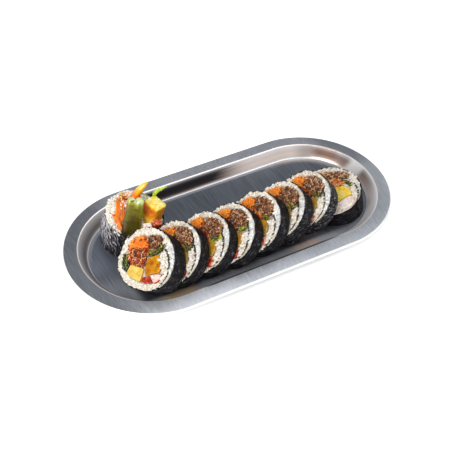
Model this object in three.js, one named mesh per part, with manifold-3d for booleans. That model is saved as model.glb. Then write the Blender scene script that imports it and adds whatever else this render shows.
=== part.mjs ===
// A plate of gimbap: one seaweed rice roll cut into eight leaning slices and a standing end piece,
// served on an obround stainless steel tray.
//
// Millimetres, +Z up. The origin is at the middle of the tray's underside, +X runs along the tray.

import * as THREE from 'three';
import { mergeVertices } from 'three/addons/utils/BufferGeometryUtils.js';
import Module from 'manifold-3d';

const wasm = await Module();
wasm.setup();

// ---- Tray ----
const TRAY_LENGTH = 278;
const TRAY_WIDTH = 136;
const TRAY_DEPTH = 9; // from the floor's top up to the rim's top
const SHEET = 0.7;
const RIM_WIDTH = 11.4;
const WALL_RUN = 7.4; // how far the wall slopes inwards on its way down
const RIM_FALL = 0.8; // the rim slopes down by this much towards its edge
const FLOOR_FILLET = 2.2;
const SHOULDER_FILLET = 1.5;
const HEM_FILLET = 0.7;
const HEM_DROP = 1.4; // the rim's outer edge is turned down by this much
const TRAY_SEGMENTS = 38; // twice an odd number, so that the ends reach their full length

// ---- Roll ----
const ROLL_RADIUS = 25.2;
const NORI = 0.5; // moist seaweed sheet
const GAP = 0.3; // between pieces that touch
const RICE_PROUD = 0.5; // rice swells out of the cut faces
const RICE_ROUND = 1.3; // and its edge is rounded off by this much
const ROLL_SEGMENTS = 26;
// The sheet's inner end lies in the rice and winds outwards, clockwise on the cut face.
const LAP = { start: 65, end: -20, radius: 18.7 };
const LAP_SEGMENTS = 4;
const SLIT_MARGIN = 2; // degrees of room past the lap's end
const FLAT_SIDE = -75; // direction of the side pressed flat by the knife
const FLAT_SPREAD = 52; // degrees over which that side is flattened
const DRAWN_IN = 0.03; // how much smaller the back face is than the front

const FLOOR = SHEET + GAP;
const CLEAR = 2; // a cutting shape runs past what it cuts by this much
const SHARPEST_CORNER = 0.5; // a sharp corner grows by no more than twice the amount
const TRAY_CORNER_STEPS = 1;
const BLOCK_CORNER_STEPS = 1;

const COLOURS = {
  steel: { color: 0x8b8f96, roughness: 0.32, metalness: 1.0 },
  nori: { color: 0x17171a, roughness: 0.45, metalness: 0.0 },
  rice: { color: 0xe9e2d4, roughness: 0.5, metalness: 0.0 },
  carrot: { color: 0xf0791c, roughness: 0.4, metalness: 0.0 },
  beef: { color: 0x6d4634, roughness: 0.5, metalness: 0.0 },
  shreds: { color: 0xb5471d, roughness: 0.4, metalness: 0.0 },
  greens: { color: 0x64761f, roughness: 0.4, metalness: 0.0 },
  radish: { color: 0xd08e12, roughness: 0.3, metalness: 0.0 },
  egg: { color: 0xf0d763, roughness: 0.5, metalness: 0.0 },
  ham: { color: 0xb8322a, roughness: 0.4, metalness: 0.0 },
  crab: { color: 0xeed9ce, roughness: 0.4, metalness: 0.0 },
  spinach: { color: 0x3d4a24, roughness: 0.5, metalness: 0.0 },
};

// How far each filling stands out of the cut face.
const PROUD = {
  carrot: 0.6, radish: 0.3, egg: 0.5, crab: 0.3, ham: 0.2, beef: 0.7, greens: 0.4, shreds: 0.7, spinach: 0.5,
};

// Outlines of the fillings on the cut face of the first slice, of those in the middle and of the last one.
// A filling named earlier keeps its shape and the later ones are pressed in round it.
const FIRST_FILLINGS = {
  radish: [
    [-0.6, 1.6], [2.4, 6.8], [5.6, 11.3], [15, 3.9], [15.3, 1.8], [12.2, -2], [9.2, -8.2], [1.6, -0.5],
  ],
  egg: [[-8.2, -9.9], [-2.2, -7.2], [4.6, -5.4], [7.9, -11.8], [10, -15.3], [6, -17.2], [-6.8, -17.9]],
  crab: [[11.6, -4.3], [12.7, -1.7], [15.9, 1.6], [18.4, 3], [19.9, -1.6], [19.6, -4.8], [17.5, -6]],
  ham: [[8.4, -11.7], [9.9, -8.2], [11.2, -5], [17.3, -6.6], [16.1, -9.5], [10.2, -14.7]],
  carrot: [
    [-17.9, -5.1], [-20, -2.5], [-20, 3.5], [-18.1, 7.8], [-15.7, 10.5], [-12.7, 11.9], [-3.1, 9.2],
    [-7.4, 5.3], [-14.3, -2.2],
  ],
  beef: [
    [-12, 10.8], [-11.3, 14.2], [-8.3, 17.8], [-4.5, 20.6], [-1.3, 20.8], [1.6, 16.6], [0.4, 11.3],
    [-2.5, 9.5],
  ],
  greens: [
    [1.7, 16.8], [4.9, 19.6], [6.1, 17.9], [5.5, 13], [2.2, 7.2], [-1.3, 2.4], [-2.3, 2.8], [-1.9, 8.6],
    [0.6, 11.1],
  ],
  shreds: [
    [-17.6, -5.6], [-14.2, -2.3], [-7.2, 5.1], [-2.3, 9], [-2.3, 2.4], [1.4, -2], [3, -5], [-2.2, -7],
    [-8.6, -9.6], [-14, -8],
  ],
  spinach: [
    [-18.2, -9.4], [-17.6, -6.4], [-9, -9.8], [-8.3, -12.5], [-7.4, -17.9], [-13.4, -15.6], [-16.8, -13],
  ],
};
const MIDDLE_FILLINGS = {
  carrot: [[-18.6, -4.5], [-20.8, -0.5], [-20.4, 6.4], [-17.6, 10.9], [-13.2, 15], [-8.3, 8.2], [-12, 2.6]],
  beef: [
    [-12.6, 15.2], [-8.8, 18.7], [0, 21.6], [4.6, 20], [7.4, 15.6], [7.6, 13.6], [2.8, 9.4], [-7.8, 8.2],
  ],
  radish: [[0.8, 0.8], [5.2, 7.5], [8.8, 9.2], [14.6, 5.2], [16.4, 0.4], [9.2, -8.2], [3.6, -4.6]],
};
const LAST_FILLINGS = {
  carrot: [[-21.4, -6], [-21.8, 0.6], [-13, 2], [-10.9, 3], [-10.8, -2.6], [-15.5, -7]],
  beef: [
    [-21.2, 1.6], [-16.8, 12.5], [-13.3, 17.7], [-9.9, 19.4], [-7.8, 18.4], [-8.2, 14.5], [-10.8, 3.6],
    [-13, 2.4],
  ],
  radish: [
    [-1.5, 5.8], [-1.8, 12.4], [6.1, 15.9], [10.1, 14.7], [12.1, 6.6], [13.8, 3.6], [11, -2], [4, -4],
    [-2.6, 0.5],
  ],
  crab: [
    [14.2, 3.8], [11.4, 9.8], [10.7, 14.7], [16.7, 15.7], [19.9, 12.1], [21.8, 7.4], [21.4, 3], [17.5, -1.5],
    [13, -1],
  ],
  greens: [[-9.5, 10.2], [-6.9, 14.8], [-3.6, 17], [0.7, 18.9], [2, 17.2], [-2, 15.2], [-5.9, 12.9]],
  shreds: [[-10.4, 3.4], [-10, 9.2], [-4.2, 13.4], [-2.2, 11.6], [-2, 6], [-4.5, 0.5], [-10.2, -2.6]],
};

// The slices lean on one another along the tray: where the middle of each front face stands,
// which way the face is turned, how far it is tipped up, the thickness, how oval the cut is,
// how deep its lower edge is pressed in, and what shows on it. "hold" is the share of that dent that goes
// right through, and a wedge is thicker below than above.
const SLICES = [
  {
    x: -90.2, y: -29.5, turn: 4.2, tip: 46.8, thick: 15.8, oval: 0.041, flat: 4, hold: 1, wedge: 0.107,
    girth: 1.046, side: -54, spread: 44, fillings: FIRST_FILLINGS,
  },
  { x: -67.7, y: -29, turn: 4.5, tip: 45, thick: 12.3, oval: 0.01, flat: 1, fillings: MIDDLE_FILLINGS },
  { x: -44.7, y: -29.5, turn: 2, tip: 49, thick: 13, oval: -0.01, flat: 0.6, fillings: MIDDLE_FILLINGS },
  { x: -22.7, y: -30, turn: -0.5, tip: 46, thick: 12.8, oval: 0.015, flat: 1.2, fillings: MIDDLE_FILLINGS },
  { x: 0.3, y: -29.5, turn: 2, tip: 41.5, thick: 13.4, oval: -0.008, flat: 0.8, fillings: MIDDLE_FILLINGS },
  { x: 23.2, y: -26.4, turn: -3.5, tip: 47.5, thick: 13.8, oval: -0.014, flat: 1, fillings: MIDDLE_FILLINGS },
  { x: 47.3, y: -24.5, turn: 0.5, tip: 49, thick: 13.9, oval: -0.012, flat: 0.8, fillings: MIDDLE_FILLINGS },
];
// The last slice was cut at a slant and lies on its back.
const LAST_SLICE = {
  x: 80.9, y: -14.3, turn: -18.5, tip: 75.2, rise: 13.9, thick: 20, oval: 0.016, flat: 0, girth: 1.083,
  lap: { start: 92, end: 40, radius: 20.2 }, fillings: LAST_FILLINGS,
};
const LYING_DEPTH = 26; // it is made this deep and then cut off at the floor

// The roll's end stands on its slanting cut with the fillings' loose ends up.
const END_PIECE = { x: -78.6, y: 23.1, lean: 10, leanTowards: -40, radius: 23.2, height: 24 };
const END_BULGE = { by: 2.2, towards: 149, steps: 3 }; // its side swells out half way up
const END_RICE_RISE = 1.4;
const END_RICE_ROUND = 2.6;
const END_HEAP = { by: 4.2, towards: 112, from: 25, within: 12 }; // its rice is heaped on the far left
const END_FILLINGS = {
  green_slab: {
    at: [-8.6, -12.2], size: [14.5, 5], turn: -18, round: 1.4, top: 45, drift: [6.2, 11.8], tip: 0.83,
  },
  egg: { at: [10.8, -3.4], size: [12.6, 15.5], turn: 4, round: 1, top: 38, drift: [3.2, 0.2], tip: 0.87 },
  carrot_stick: {
    at: [-4.5, 14.6], size: [9, 4], turn: -8, round: 0.8, top: 45.5, drift: [19.5, -2.2], tip: 0.35,
  },
  ham: { at: [10.2, -15.2], size: [6.5, 5.5], turn: -8, round: 0.8, top: 30, drift: [0.8, 0] },
  crab: { at: [3, -14.8], size: [6.4, 5], turn: -12, round: 1.2, top: 28.5, drift: [0, 0] },
  carrot_shreds: { at: [-13.6, 5], size: [7, 15], turn: 12, round: 3, top: 27.5, drift: [-0.6, 0] },
};
const END_COLOURS = {
  green_slab: 'greens', egg: 'egg', carrot_stick: 'carrot', ham: 'ham', crab: 'crab', carrot_shreds: 'carrot',
};

const radians = THREE.MathUtils.degToRad;

// ---- From three.js geometry to a solid, and back ----

function solid(geometry) {
  const bare = geometry.clone();
  bare.deleteAttribute('normal');
  bare.deleteAttribute('uv');
  const merged = mergeVertices(bare, 1e-4);
  const corners = merged.getIndex().array;
  const kept = [];
  for (let i = 0; i < corners.length; i += 3) {
    const [a, b, c] = [corners[i], corners[i + 1], corners[i + 2]];
    if (a !== b && b !== c && c !== a) {
      kept.push(a, b, c);
    }
  }
  const vertProperties = new Float32Array(merged.getAttribute('position').array);
  const triVerts = new Uint32Array(kept);
  return new wasm.Manifold(new wasm.Mesh({ numProp: 3, vertProperties, triVerts }));
}

// Cutting can leave crumbs between two fillings: only the main part of a piece is kept.
function mainPart(body) {
  const parts = body.decompose();
  return parts.reduce((best, part) => (part.volume() > best.volume() ? part : best));
}

function geometryOf(body) {
  const mesh = body.getMesh();
  const geometry = new THREE.BufferGeometry();
  geometry.setAttribute('position', new THREE.BufferAttribute(mesh.vertProperties, 3));
  geometry.setIndex(new THREE.BufferAttribute(mesh.triVerts, 1));
  geometry.computeVertexNormals();
  return geometry;
}

function piece(name, body, finish) {
  const material = new THREE.MeshStandardMaterial({ name: finish, ...COLOURS[finish] });
  const mesh = new THREE.Mesh(geometryOf(mainPart(body)), material);
  mesh.name = name;
  return mesh;
}

// ---- Tray ----

// A corner of the sheet's middle line, rounded by an arc from one straight stretch to the next.
function roundedCorner(before, corner, after, radius, steps) {
  const into = corner.clone().sub(before).normalize();
  const out = after.clone().sub(corner).normalize();
  const bend = Math.acos(THREE.MathUtils.clamp(into.dot(out), -1, 1));
  const reach = radius * Math.tan(bend / 2);
  const side = Math.sign(into.cross(out));
  const start = corner.clone().addScaledVector(into, -reach);
  const centre = start.clone().add(new THREE.Vector2(-into.y, into.x).multiplyScalar(side * radius));
  const points = [];
  for (let i = 0; i <= steps; i += 1) {
    points.push(start.clone().rotateAround(centre, (side * bend * i) / steps));
  }
  return points;
}

// The section of the pressed sheet from the centre line to the hem, as a closed profile.
function traySection() {
  const half = TRAY_WIDTH / 2;
  const low = SHEET / 2;
  const high = TRAY_DEPTH + SHEET / 2;
  const middle = new THREE.Vector2(0, low);
  const foot = new THREE.Vector2(half - RIM_WIDTH - WALL_RUN, low);
  const shoulder = new THREE.Vector2(half - RIM_WIDTH, high);
  const edge = new THREE.Vector2(half - SHEET / 2, high - RIM_FALL);
  const hem = new THREE.Vector2(half - SHEET / 2, high - RIM_FALL - HEM_DROP);
  const line = [
    middle,
    ...roundedCorner(middle, foot, shoulder, FLOOR_FILLET, TRAY_CORNER_STEPS),
    ...roundedCorner(foot, shoulder, edge, SHOULDER_FILLET, TRAY_CORNER_STEPS),
    ...roundedCorner(shoulder, edge, hem, HEM_FILLET, TRAY_CORNER_STEPS),
    hem,
  ];
  const under = [];
  const over = [];
  line.forEach((point, i) => {
    const before = line[Math.max(i - 1, 0)];
    const after = line[Math.min(i + 1, line.length - 1)];
    const along = after.clone().sub(before).normalize();
    const across = new THREE.Vector2(-along.y, along.x).multiplyScalar(SHEET / 2);
    under.push(point.clone().sub(across));
    over.push(point.clone().add(across));
  });
  return [...under, ...over.reverse()];
}

// A round dish turned from the section, then pulled apart along X into an obround.
function trayGeometry() {
  const section = traySection();
  const firstAngle = Math.PI / TRAY_SEGMENTS;
  const dish = new THREE.LatheGeometry(section, TRAY_SEGMENTS, firstAngle);
  const position = dish.getAttribute('position');
  const pull = (TRAY_LENGTH - TRAY_WIDTH) / 2;
  for (let i = 0; i < position.count; i += 1) {
    const angle = firstAngle + (2 * Math.PI * Math.floor(i / section.length)) / TRAY_SEGMENTS;
    position.setX(i, position.getX(i) + Math.sign(Math.sin(angle)) * pull);
  }
  return dish.rotateX(Math.PI / 2);
}

// ---- Outlines on the cut face ----

const polar = (radius, degrees) =>
  new THREE.Vector2(radius * Math.cos(radians(degrees)), radius * Math.sin(radians(degrees)));

// A ribbon of the given thickness through stations of an angle and a radius.
function ribbonOutline(stations, thickness) {
  const outer = stations.map((s) => polar(s.radius + thickness / 2, s.angle));
  const inner = stations.map((s) => polar(s.radius - thickness / 2, s.angle));
  return [...outer.reverse(), ...inner];
}

// The stretch of the seaweed sheet that lies in the rice, from its inner end out to the wrap.
function lapStations(radius, lap) {
  const wrapRadius = radius - NORI / 2;
  const startRadius = (lap.radius * radius) / ROLL_RADIUS;
  const stations = [];
  for (let i = 0; i <= LAP_SEGMENTS; i += 1) {
    const part = i / LAP_SEGMENTS;
    const angle = lap.start + (lap.end - lap.start) * part;
    stations.push({ angle, radius: startRadius + (wrapRadius - startRadius) * part });
  }
  return stations;
}

// The whole sheet: the lap, then round the outside to one segment short of a full turn.
function noriOutline(radius, lap) {
  const stations = lapStations(radius, lap);
  for (let i = 1; i < ROLL_SEGMENTS; i += 1) {
    stations.push({ angle: lap.end - (360 * i) / ROLL_SEGMENTS, radius: radius - NORI / 2 });
  }
  return ribbonOutline(stations, NORI);
}

// The slit that the lap needs in the rice, a little longer and wider than the lap.
function slitOutline(radius, lap) {
  const stations = lapStations(radius, lap);
  const [first, last] = [stations[0], stations[LAP_SEGMENTS]];
  const before = { angle: first.angle + SLIT_MARGIN, radius: first.radius };
  const after = { angle: last.angle - SLIT_MARGIN, radius: last.radius + NORI };
  return ribbonOutline([before, ...stations, after], NORI + 2 * GAP);
}

// An outline with every side moved outwards by the same amount.
function grown(outline, by) {
  const area = THREE.ShapeUtils.area(outline);
  return outline.map((corner, i) => {
    const before = outline[(i + outline.length - 1) % outline.length];
    const after = outline[(i + 1) % outline.length];
    const into = corner.clone().sub(before).normalize();
    const out = after.clone().sub(corner).normalize();
    const outwards = new THREE.Vector2(into.y + out.y, -into.x - out.x).normalize();
    const share = Math.max(outwards.dot(new THREE.Vector2(out.y, -out.x)), SHARPEST_CORNER);
    return corner.clone().addScaledVector(outwards, (Math.sign(area) * by) / share);
  });
}

const outlineOf = (corners) => corners.map(([x, y]) => new THREE.Vector2(x, y));

// A block with rounded corners.
function blockOutline({ at, size, turn, round }, grow) {
  const width = size[0] / 2 + grow;
  const depth = size[1] / 2 + grow;
  const corner = round + grow;
  const points = [];
  for (const [sx, sy, first] of [[1, -1, -90], [1, 1, 0], [-1, 1, 90], [-1, -1, 180]]) {
    for (let i = 0; i <= BLOCK_CORNER_STEPS; i += 1) {
      const onArc = polar(corner, first + (90 * i) / BLOCK_CORNER_STEPS);
      points.push(onArc.add(new THREE.Vector2(sx * (width - corner), sy * (depth - corner))));
    }
  }
  const origin = new THREE.Vector2(0, 0);
  const middle = new THREE.Vector2(at[0], at[1]);
  return points.map((point) => point.rotateAround(origin, radians(turn)).add(middle));
}

function extruded(outline, back, front, steps = 1) {
  const depth = front - back;
  const geometry = new THREE.ExtrudeGeometry(new THREE.Shape(outline), { depth, steps, bevelEnabled: false });
  return geometry.translate(0, 0, back);
}

// The rice fills the sheet and swells out of its front face with a rounded edge.
function riceGeometry(sheetRadius, lap, back, front, round, levels = []) {
  const radius = sheetRadius - NORI - GAP;
  const side = [back, ...levels, front - round].map((level) => [radius, level]);
  const profile = [[0, back], ...side, [radius - round, front], [0, front]];
  const points = profile.map(([r, z]) => new THREE.Vector2(r, z));
  const turned = new THREE.LatheGeometry(points, ROLL_SEGMENTS, radians(lap.end + 90));
  return turned.rotateX(Math.PI / 2);
}

// ---- The shape that cutting and leaning give the roll ----

// The roll is a little oval, its lower edge is pressed in towards the front face, and the knife
// draws the back edge in.
function pressedScale(angle, z, cut) {
  const { girth = 1, oval, flat, thick, hold = 0, side = FLAT_SIDE, spread = FLAT_SPREAD } = cut;
  const fromFlat = ((THREE.MathUtils.radToDeg(angle) - side + 540) % 360) - 180;
  const dent = (flat / ROLL_RADIUS) * Math.exp(-((fromFlat / spread) ** 2));
  const nearFront = THREE.MathUtils.clamp(1 + z / thick, 0, 1);
  const dentHere = dent * (hold + (1 - hold) * nearFront);
  return girth * (1 + oval * Math.cos(2 * angle) - dentHere - DRAWN_IN * (1 - nearFront));
}

function pressed(geometry, cut) {
  const { wedge = 0 } = cut;
  const position = geometry.getAttribute('position');
  for (let i = 0; i < position.count; i += 1) {
    const [x, y, z] = [position.getX(i), position.getY(i), position.getZ(i)];
    const scale = pressedScale(Math.atan2(y, x), z, cut);
    const level = z < 0 ? z * (1 - (wedge * y) / ROLL_RADIUS) : z;
    position.setXYZ(i, x * scale, y * scale, level);
  }
  return geometry;
}

// How far the lowest point of a slice's back edge lies under the middle of its front face.
function lowestPoint(cut) {
  const tip = radians(cut.tip);
  let lowest = 0;
  for (let degree = 0; degree < 360; degree += 1) {
    const angle = radians(degree);
    const height = ROLL_RADIUS * Math.sin(angle);
    const deep = cut.thick * (1 - ((cut.wedge ?? 0) * height) / ROLL_RADIUS);
    const scale = pressedScale(angle, -cut.thick, cut);
    lowest = Math.max(lowest, deep * Math.sin(tip) - height * scale * Math.cos(tip));
  }
  return lowest;
}

// A block of air under the tray's floor level, seen from inside a leaning group.
function belowFloor(group) {
  group.updateMatrixWorld(true);
  const reach = 160;
  const block = new THREE.BoxGeometry(reach, reach, reach);
  block.translate(group.position.x, group.position.y, FLOOR - reach / 2);
  return solid(block.applyMatrix4(group.matrixWorld.clone().invert()));
}

// ---- Slices ----

// Fillings in order, each cut back where an earlier one already lies.
function packedFillings(back, cut) {
  const bodies = new Map();
  const taken = [];
  for (const [name, corners] of Object.entries(cut.fillings)) {
    const outline = outlineOf(corners);
    let body = solid(pressed(extruded(outline, back, PROUD[name]), cut));
    for (const earlier of taken) {
      body = body.subtract(earlier);
    }
    bodies.set(name, body);
    const room = extruded(grown(outline, GAP), back - CLEAR, PROUD[name] + CLEAR);
    taken.push(solid(pressed(room, cut)));
  }
  return { bodies, taken };
}

function slice(label, cut, centreHeight, lying) {
  const { x, y, turn, tip, lap = LAP } = cut;
  const back = lying ? -LYING_DEPTH : -cut.thick;
  const group = new THREE.Group();
  const towards = new THREE.Vector3(
    -Math.cos(radians(tip)) * Math.cos(radians(turn)),
    -Math.cos(radians(tip)) * Math.sin(radians(turn)),
    Math.sin(radians(tip)),
  );
  const across = new THREE.Vector3(0, 0, 1).cross(towards).normalize();
  const upwards = towards.clone().cross(across);
  group.quaternion.setFromRotationMatrix(new THREE.Matrix4().makeBasis(across, upwards, towards));
  group.position.set(x, y, centreHeight);

  const nori = solid(pressed(extruded(noriOutline(ROLL_RADIUS, lap), back, 0), cut));
  const { bodies, taken } = packedFillings(back, cut);
  const riceShape = riceGeometry(ROLL_RADIUS, lap, back, RICE_PROUD, RICE_ROUND);
  const slit = extruded(slitOutline(ROLL_RADIUS, lap), back - CLEAR, CLEAR);
  let rice = solid(pressed(riceShape, cut)).subtract(solid(pressed(slit, cut)));
  for (const room of taken) {
    rice = rice.subtract(room);
  }

  const layers = new Map([['nori', nori], ['rice', rice], ...bodies]);
  const floor = lying ? belowFloor(group) : null;
  for (const [name, body] of layers) {
    const shaped = floor ? body.subtract(floor) : body;
    group.add(piece(`${label}_${name}`, shaped, name));
  }
  return group;
}

// ---- End piece ----

// Above the rice a loose end drifts sideways and narrows towards its tip.
function loosened(geometry, { at, top, drift, tip = 1 }) {
  const position = geometry.getAttribute('position');
  for (let i = 0; i < position.count; i += 1) {
    const z = position.getZ(i);
    const out = THREE.MathUtils.clamp((z - END_PIECE.height) / (top - END_PIECE.height), 0, 1);
    const narrow = 1 + (tip - 1) * out;
    const x = at[0] + (position.getX(i) - at[0]) * narrow + drift[0] * out;
    const y = at[1] + (position.getY(i) - at[1]) * narrow + drift[1] * out;
    position.setXY(i, x, y);
  }
  return geometry;
}

// A filling that runs up through the roll and out of its end.
function looseFilling(filling, back, grow) {
  const outline = blockOutline(filling, grow);
  const inside = extruded(outline, back, END_PIECE.height);
  const outside = extruded(outline, END_PIECE.height - GAP, filling.top, 2);
  return solid(inside).add(solid(loosened(outside, filling)));
}

// The side of the end piece swells out half way up.
function bulged(geometry) {
  const position = geometry.getAttribute('position');
  for (let i = 0; i < position.count; i += 1) {
    const [x, y, z] = [position.getX(i), position.getY(i), position.getZ(i)];
    const facing = Math.max(0, Math.cos(Math.atan2(y, x) - radians(END_BULGE.towards)));
    const halfWay = Math.sin(Math.PI * THREE.MathUtils.clamp(z / END_PIECE.height, 0, 1));
    const scale = 1 + (END_BULGE.by / END_PIECE.radius) * halfWay * facing ** 2;
    position.setXY(i, x * scale, y * scale);
  }
  return geometry;
}

// The rice of the end piece is heaped up on one side and sinks away on the other, inside its rim.
function heaped(geometry) {
  const position = geometry.getAttribute('position');
  for (let i = 0; i < position.count; i += 1) {
    const [x, y, z] = [position.getX(i), position.getY(i), position.getZ(i)];
    if (z > END_HEAP.from) {
      const share = Math.min(1, Math.hypot(x, y) / END_HEAP.within);
      const side = Math.cos(Math.atan2(y, x) - radians(END_HEAP.towards));
      position.setZ(i, z + END_HEAP.by * side * share);
    }
  }
  return geometry;
}

function endPiece() {
  const { x, y, lean, leanTowards, radius, height } = END_PIECE;
  const group = new THREE.Group();
  const sideways = new THREE.Vector3(
    -Math.sin(radians(leanTowards)), Math.cos(radians(leanTowards)), 0,
  );
  group.quaternion.setFromAxisAngle(sideways, radians(lean));
  group.position.set(x, y, FLOOR);
  const floor = belowFloor(group);
  const back = -radius * Math.sin(radians(lean)) - 1;

  const { steps } = END_BULGE;
  const nori = solid(bulged(extruded(noriOutline(radius, LAP), back, height, steps)));
  const levels = [1, 2].map((step) => back + ((height - back) * step) / steps);
  const riceTop = height + END_RICE_RISE;
  const riceShape = heaped(bulged(riceGeometry(radius, LAP, back, riceTop, END_RICE_ROUND, levels)));
  const slit = extruded(slitOutline(radius, LAP), back - CLEAR, height + GAP);
  let rice = solid(riceShape).subtract(solid(slit));

  for (const [name, filling] of Object.entries(END_FILLINGS)) {
    rice = rice.subtract(looseFilling(filling, back, GAP));
    group.add(piece(`end_${name}`, looseFilling(filling, back, 0).subtract(floor), END_COLOURS[name]));
  }
  group.add(piece('end_nori', nori.subtract(floor), 'nori'));
  group.add(piece('end_rice', rice.subtract(floor), 'rice'));
  return group;
}

// ---- The whole plate ----

const plate = new THREE.Group();
plate.add(piece('tray', solid(trayGeometry()), 'steel'));
SLICES.forEach((cut, i) => {
  plate.add(slice(`slice_${i + 1}`, cut, FLOOR + lowestPoint(cut), false));
});
plate.add(slice(`slice_${SLICES.length + 1}`, LAST_SLICE, FLOOR + LAST_SLICE.rise, true));
plate.add(endPiece());

export default plate;
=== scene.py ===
"""Gimbap on an obround steel tray: tray, seaweed, rice, fillings and stage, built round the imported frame."""

import itertools
import math

import bmesh
import bpy
import numpy as np
from bpy.props import FloatProperty, FloatVectorProperty, PointerProperty
from bpy.types import Operator, Panel, PropertyGroup
from mathutils import Matrix, Vector


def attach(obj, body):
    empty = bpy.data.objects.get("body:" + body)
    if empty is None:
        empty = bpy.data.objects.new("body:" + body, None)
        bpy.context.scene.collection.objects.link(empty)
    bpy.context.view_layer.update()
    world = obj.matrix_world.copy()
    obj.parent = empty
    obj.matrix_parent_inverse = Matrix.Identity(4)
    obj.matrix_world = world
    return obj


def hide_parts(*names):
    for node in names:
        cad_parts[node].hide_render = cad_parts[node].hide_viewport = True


bl_info = {
    "name": "Gimbap on a Tray",
    "version": (1, 0, 0),
    "blender": (4, 5, 0),
    "location": "View3D > Sidebar > Gimbap",
    "description": "Dresses the packed plate with its steel, seaweed, rice and fillings",
    "category": "Object",
}

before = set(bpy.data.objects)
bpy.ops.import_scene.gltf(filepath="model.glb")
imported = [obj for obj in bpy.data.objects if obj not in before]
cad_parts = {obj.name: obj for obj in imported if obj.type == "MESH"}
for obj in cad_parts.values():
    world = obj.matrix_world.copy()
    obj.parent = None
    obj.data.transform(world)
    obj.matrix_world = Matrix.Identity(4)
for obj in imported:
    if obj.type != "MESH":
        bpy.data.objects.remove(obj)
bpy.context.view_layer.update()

MM = 0.001


def linear(code):
    """A colour written as rrggbb, as the three linear values that Blender keeps."""
    parts = [int(code[i : i + 2], 16) / 255 for i in (0, 2, 4)]
    return tuple(p / 12.92 if p <= 0.04045 else ((p + 0.055) / 1.055) ** 2.4 for p in parts)


# ---- Sizes that the plate shares with its frame, in millimetres ----

# The level that the food stands on, and the top of the tray's sheet beneath it.
FLOOR = 1.0
TRAY_TOP = 0.7
# How far out a slice's seaweed and rice reach, the gap that fillings keep from one another, and how much narrower
# the back of a slice is, as a share.
ROLL_RADIUS = 25.2
RICE_RADIUS = 24.4
GAP = 0.3
DRAWN_IN = 0.03
# Most slices are pressed flat on this side, over about this much of their round, in degrees.
FLAT_SIDE = -75
FLAT_SPREAD = 52
# The sheet's inner end lies in the rice: where it starts and ends, in degrees, and how far out it starts.
LAP = (65, -20, 18.7)
LAST_LAP = (92, 40, 20.2)
# The two cut faces of a slice.
FRONT, BACK = 1, -1
# Slices whose seaweed has a few pale streaks of painted sheen, and how many.
SLICE_GLEAM = {6: 0.12, 7: 0.2}

# How far each filling stands out of the cut face.
PROUD = {"carrot": 0.6, "radish": 0.3, "egg": 0.5, "crab": 0.3, "ham": 0.2, "beef": 0.7, "greens": 0.4,
         "shreds": 0.7, "spinach": 0.5}
SOFT = ("beef", "shreds", "carrot", "spinach")
FIRM = ("radish", "egg", "crab", "ham")

# Outlines of the fillings on the cut face. They touch one another, and the rice lies round them all.
FIRST = {
    "carrot": [(-17.9, -5.1), (-20, -2.5), (-20, 3.5), (-18.1, 7.8), (-15.7, 10.5), (-12.7, 11.9), (-10.5, 10.3),
               (-3.1, 9.2), (-7.4, 5.3), (-14.3, -2.2)],
    "beef": [(-12, 10.8), (-11.3, 14.2), (-8.3, 17.8), (-4.5, 20.6), (-1.3, 20.8), (0.5, 19.2), (1.6, 16.6),
             (0.4, 11.3), (-2.5, 9.5), (-10.2, 10.5)],
    "greens": [(1.7, 16.8), (4.9, 19.6), (6.1, 17.9), (5.5, 13), (2.2, 7.2), (-1.3, 2.4), (-2.3, 2.8), (-1.9, 8.6),
               (0.6, 11.1)],
    "shreds": [(-17.6, -5.6), (-14.2, -2.3), (-7.2, 5.1), (-2.3, 9), (-2.3, 2.4), (-0.8, 1.2), (1.4, -2),
               (3, -5), (-2.2, -7), (-8.6, -9.6), (-14, -8)],
    "spinach": [(-18.2, -9.4), (-17.6, -6.4), (-13.6, -8.1), (-9, -9.8), (-8.3, -12.5), (-7.4, -17.9),
                (-9.9, -17.4), (-13.4, -15.6), (-16.8, -13)],
    "egg": [(-8.2, -9.9), (-2.2, -7.2), (4.6, -5.4), (7.9, -11.8), (10, -15.3), (6, -17.2), (-0.2, -18.1),
            (-6.8, -17.9), (-8, -12.4)],
    "radish": [(-0.6, 1.6), (2.4, 6.8), (5.6, 11.3), (9.9, 7.3), (15, 3.9), (15.3, 1.8), (12.2, -2), (9.2, -8.2),
               (3.7, -3.8), (1.6, -0.5)],
    "crab": [(11.6, -4.3), (12.7, -1.7), (15.9, 1.6), (18.4, 3), (19.9, -1.6), (19.6, -4.8), (17.5, -6)],
    "ham": [(8.4, -11.7), (9.9, -8.2), (11.2, -5), (17.3, -6.6), (16.1, -9.5), (12.8, -13.4), (10.2, -14.7)],
}
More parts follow.
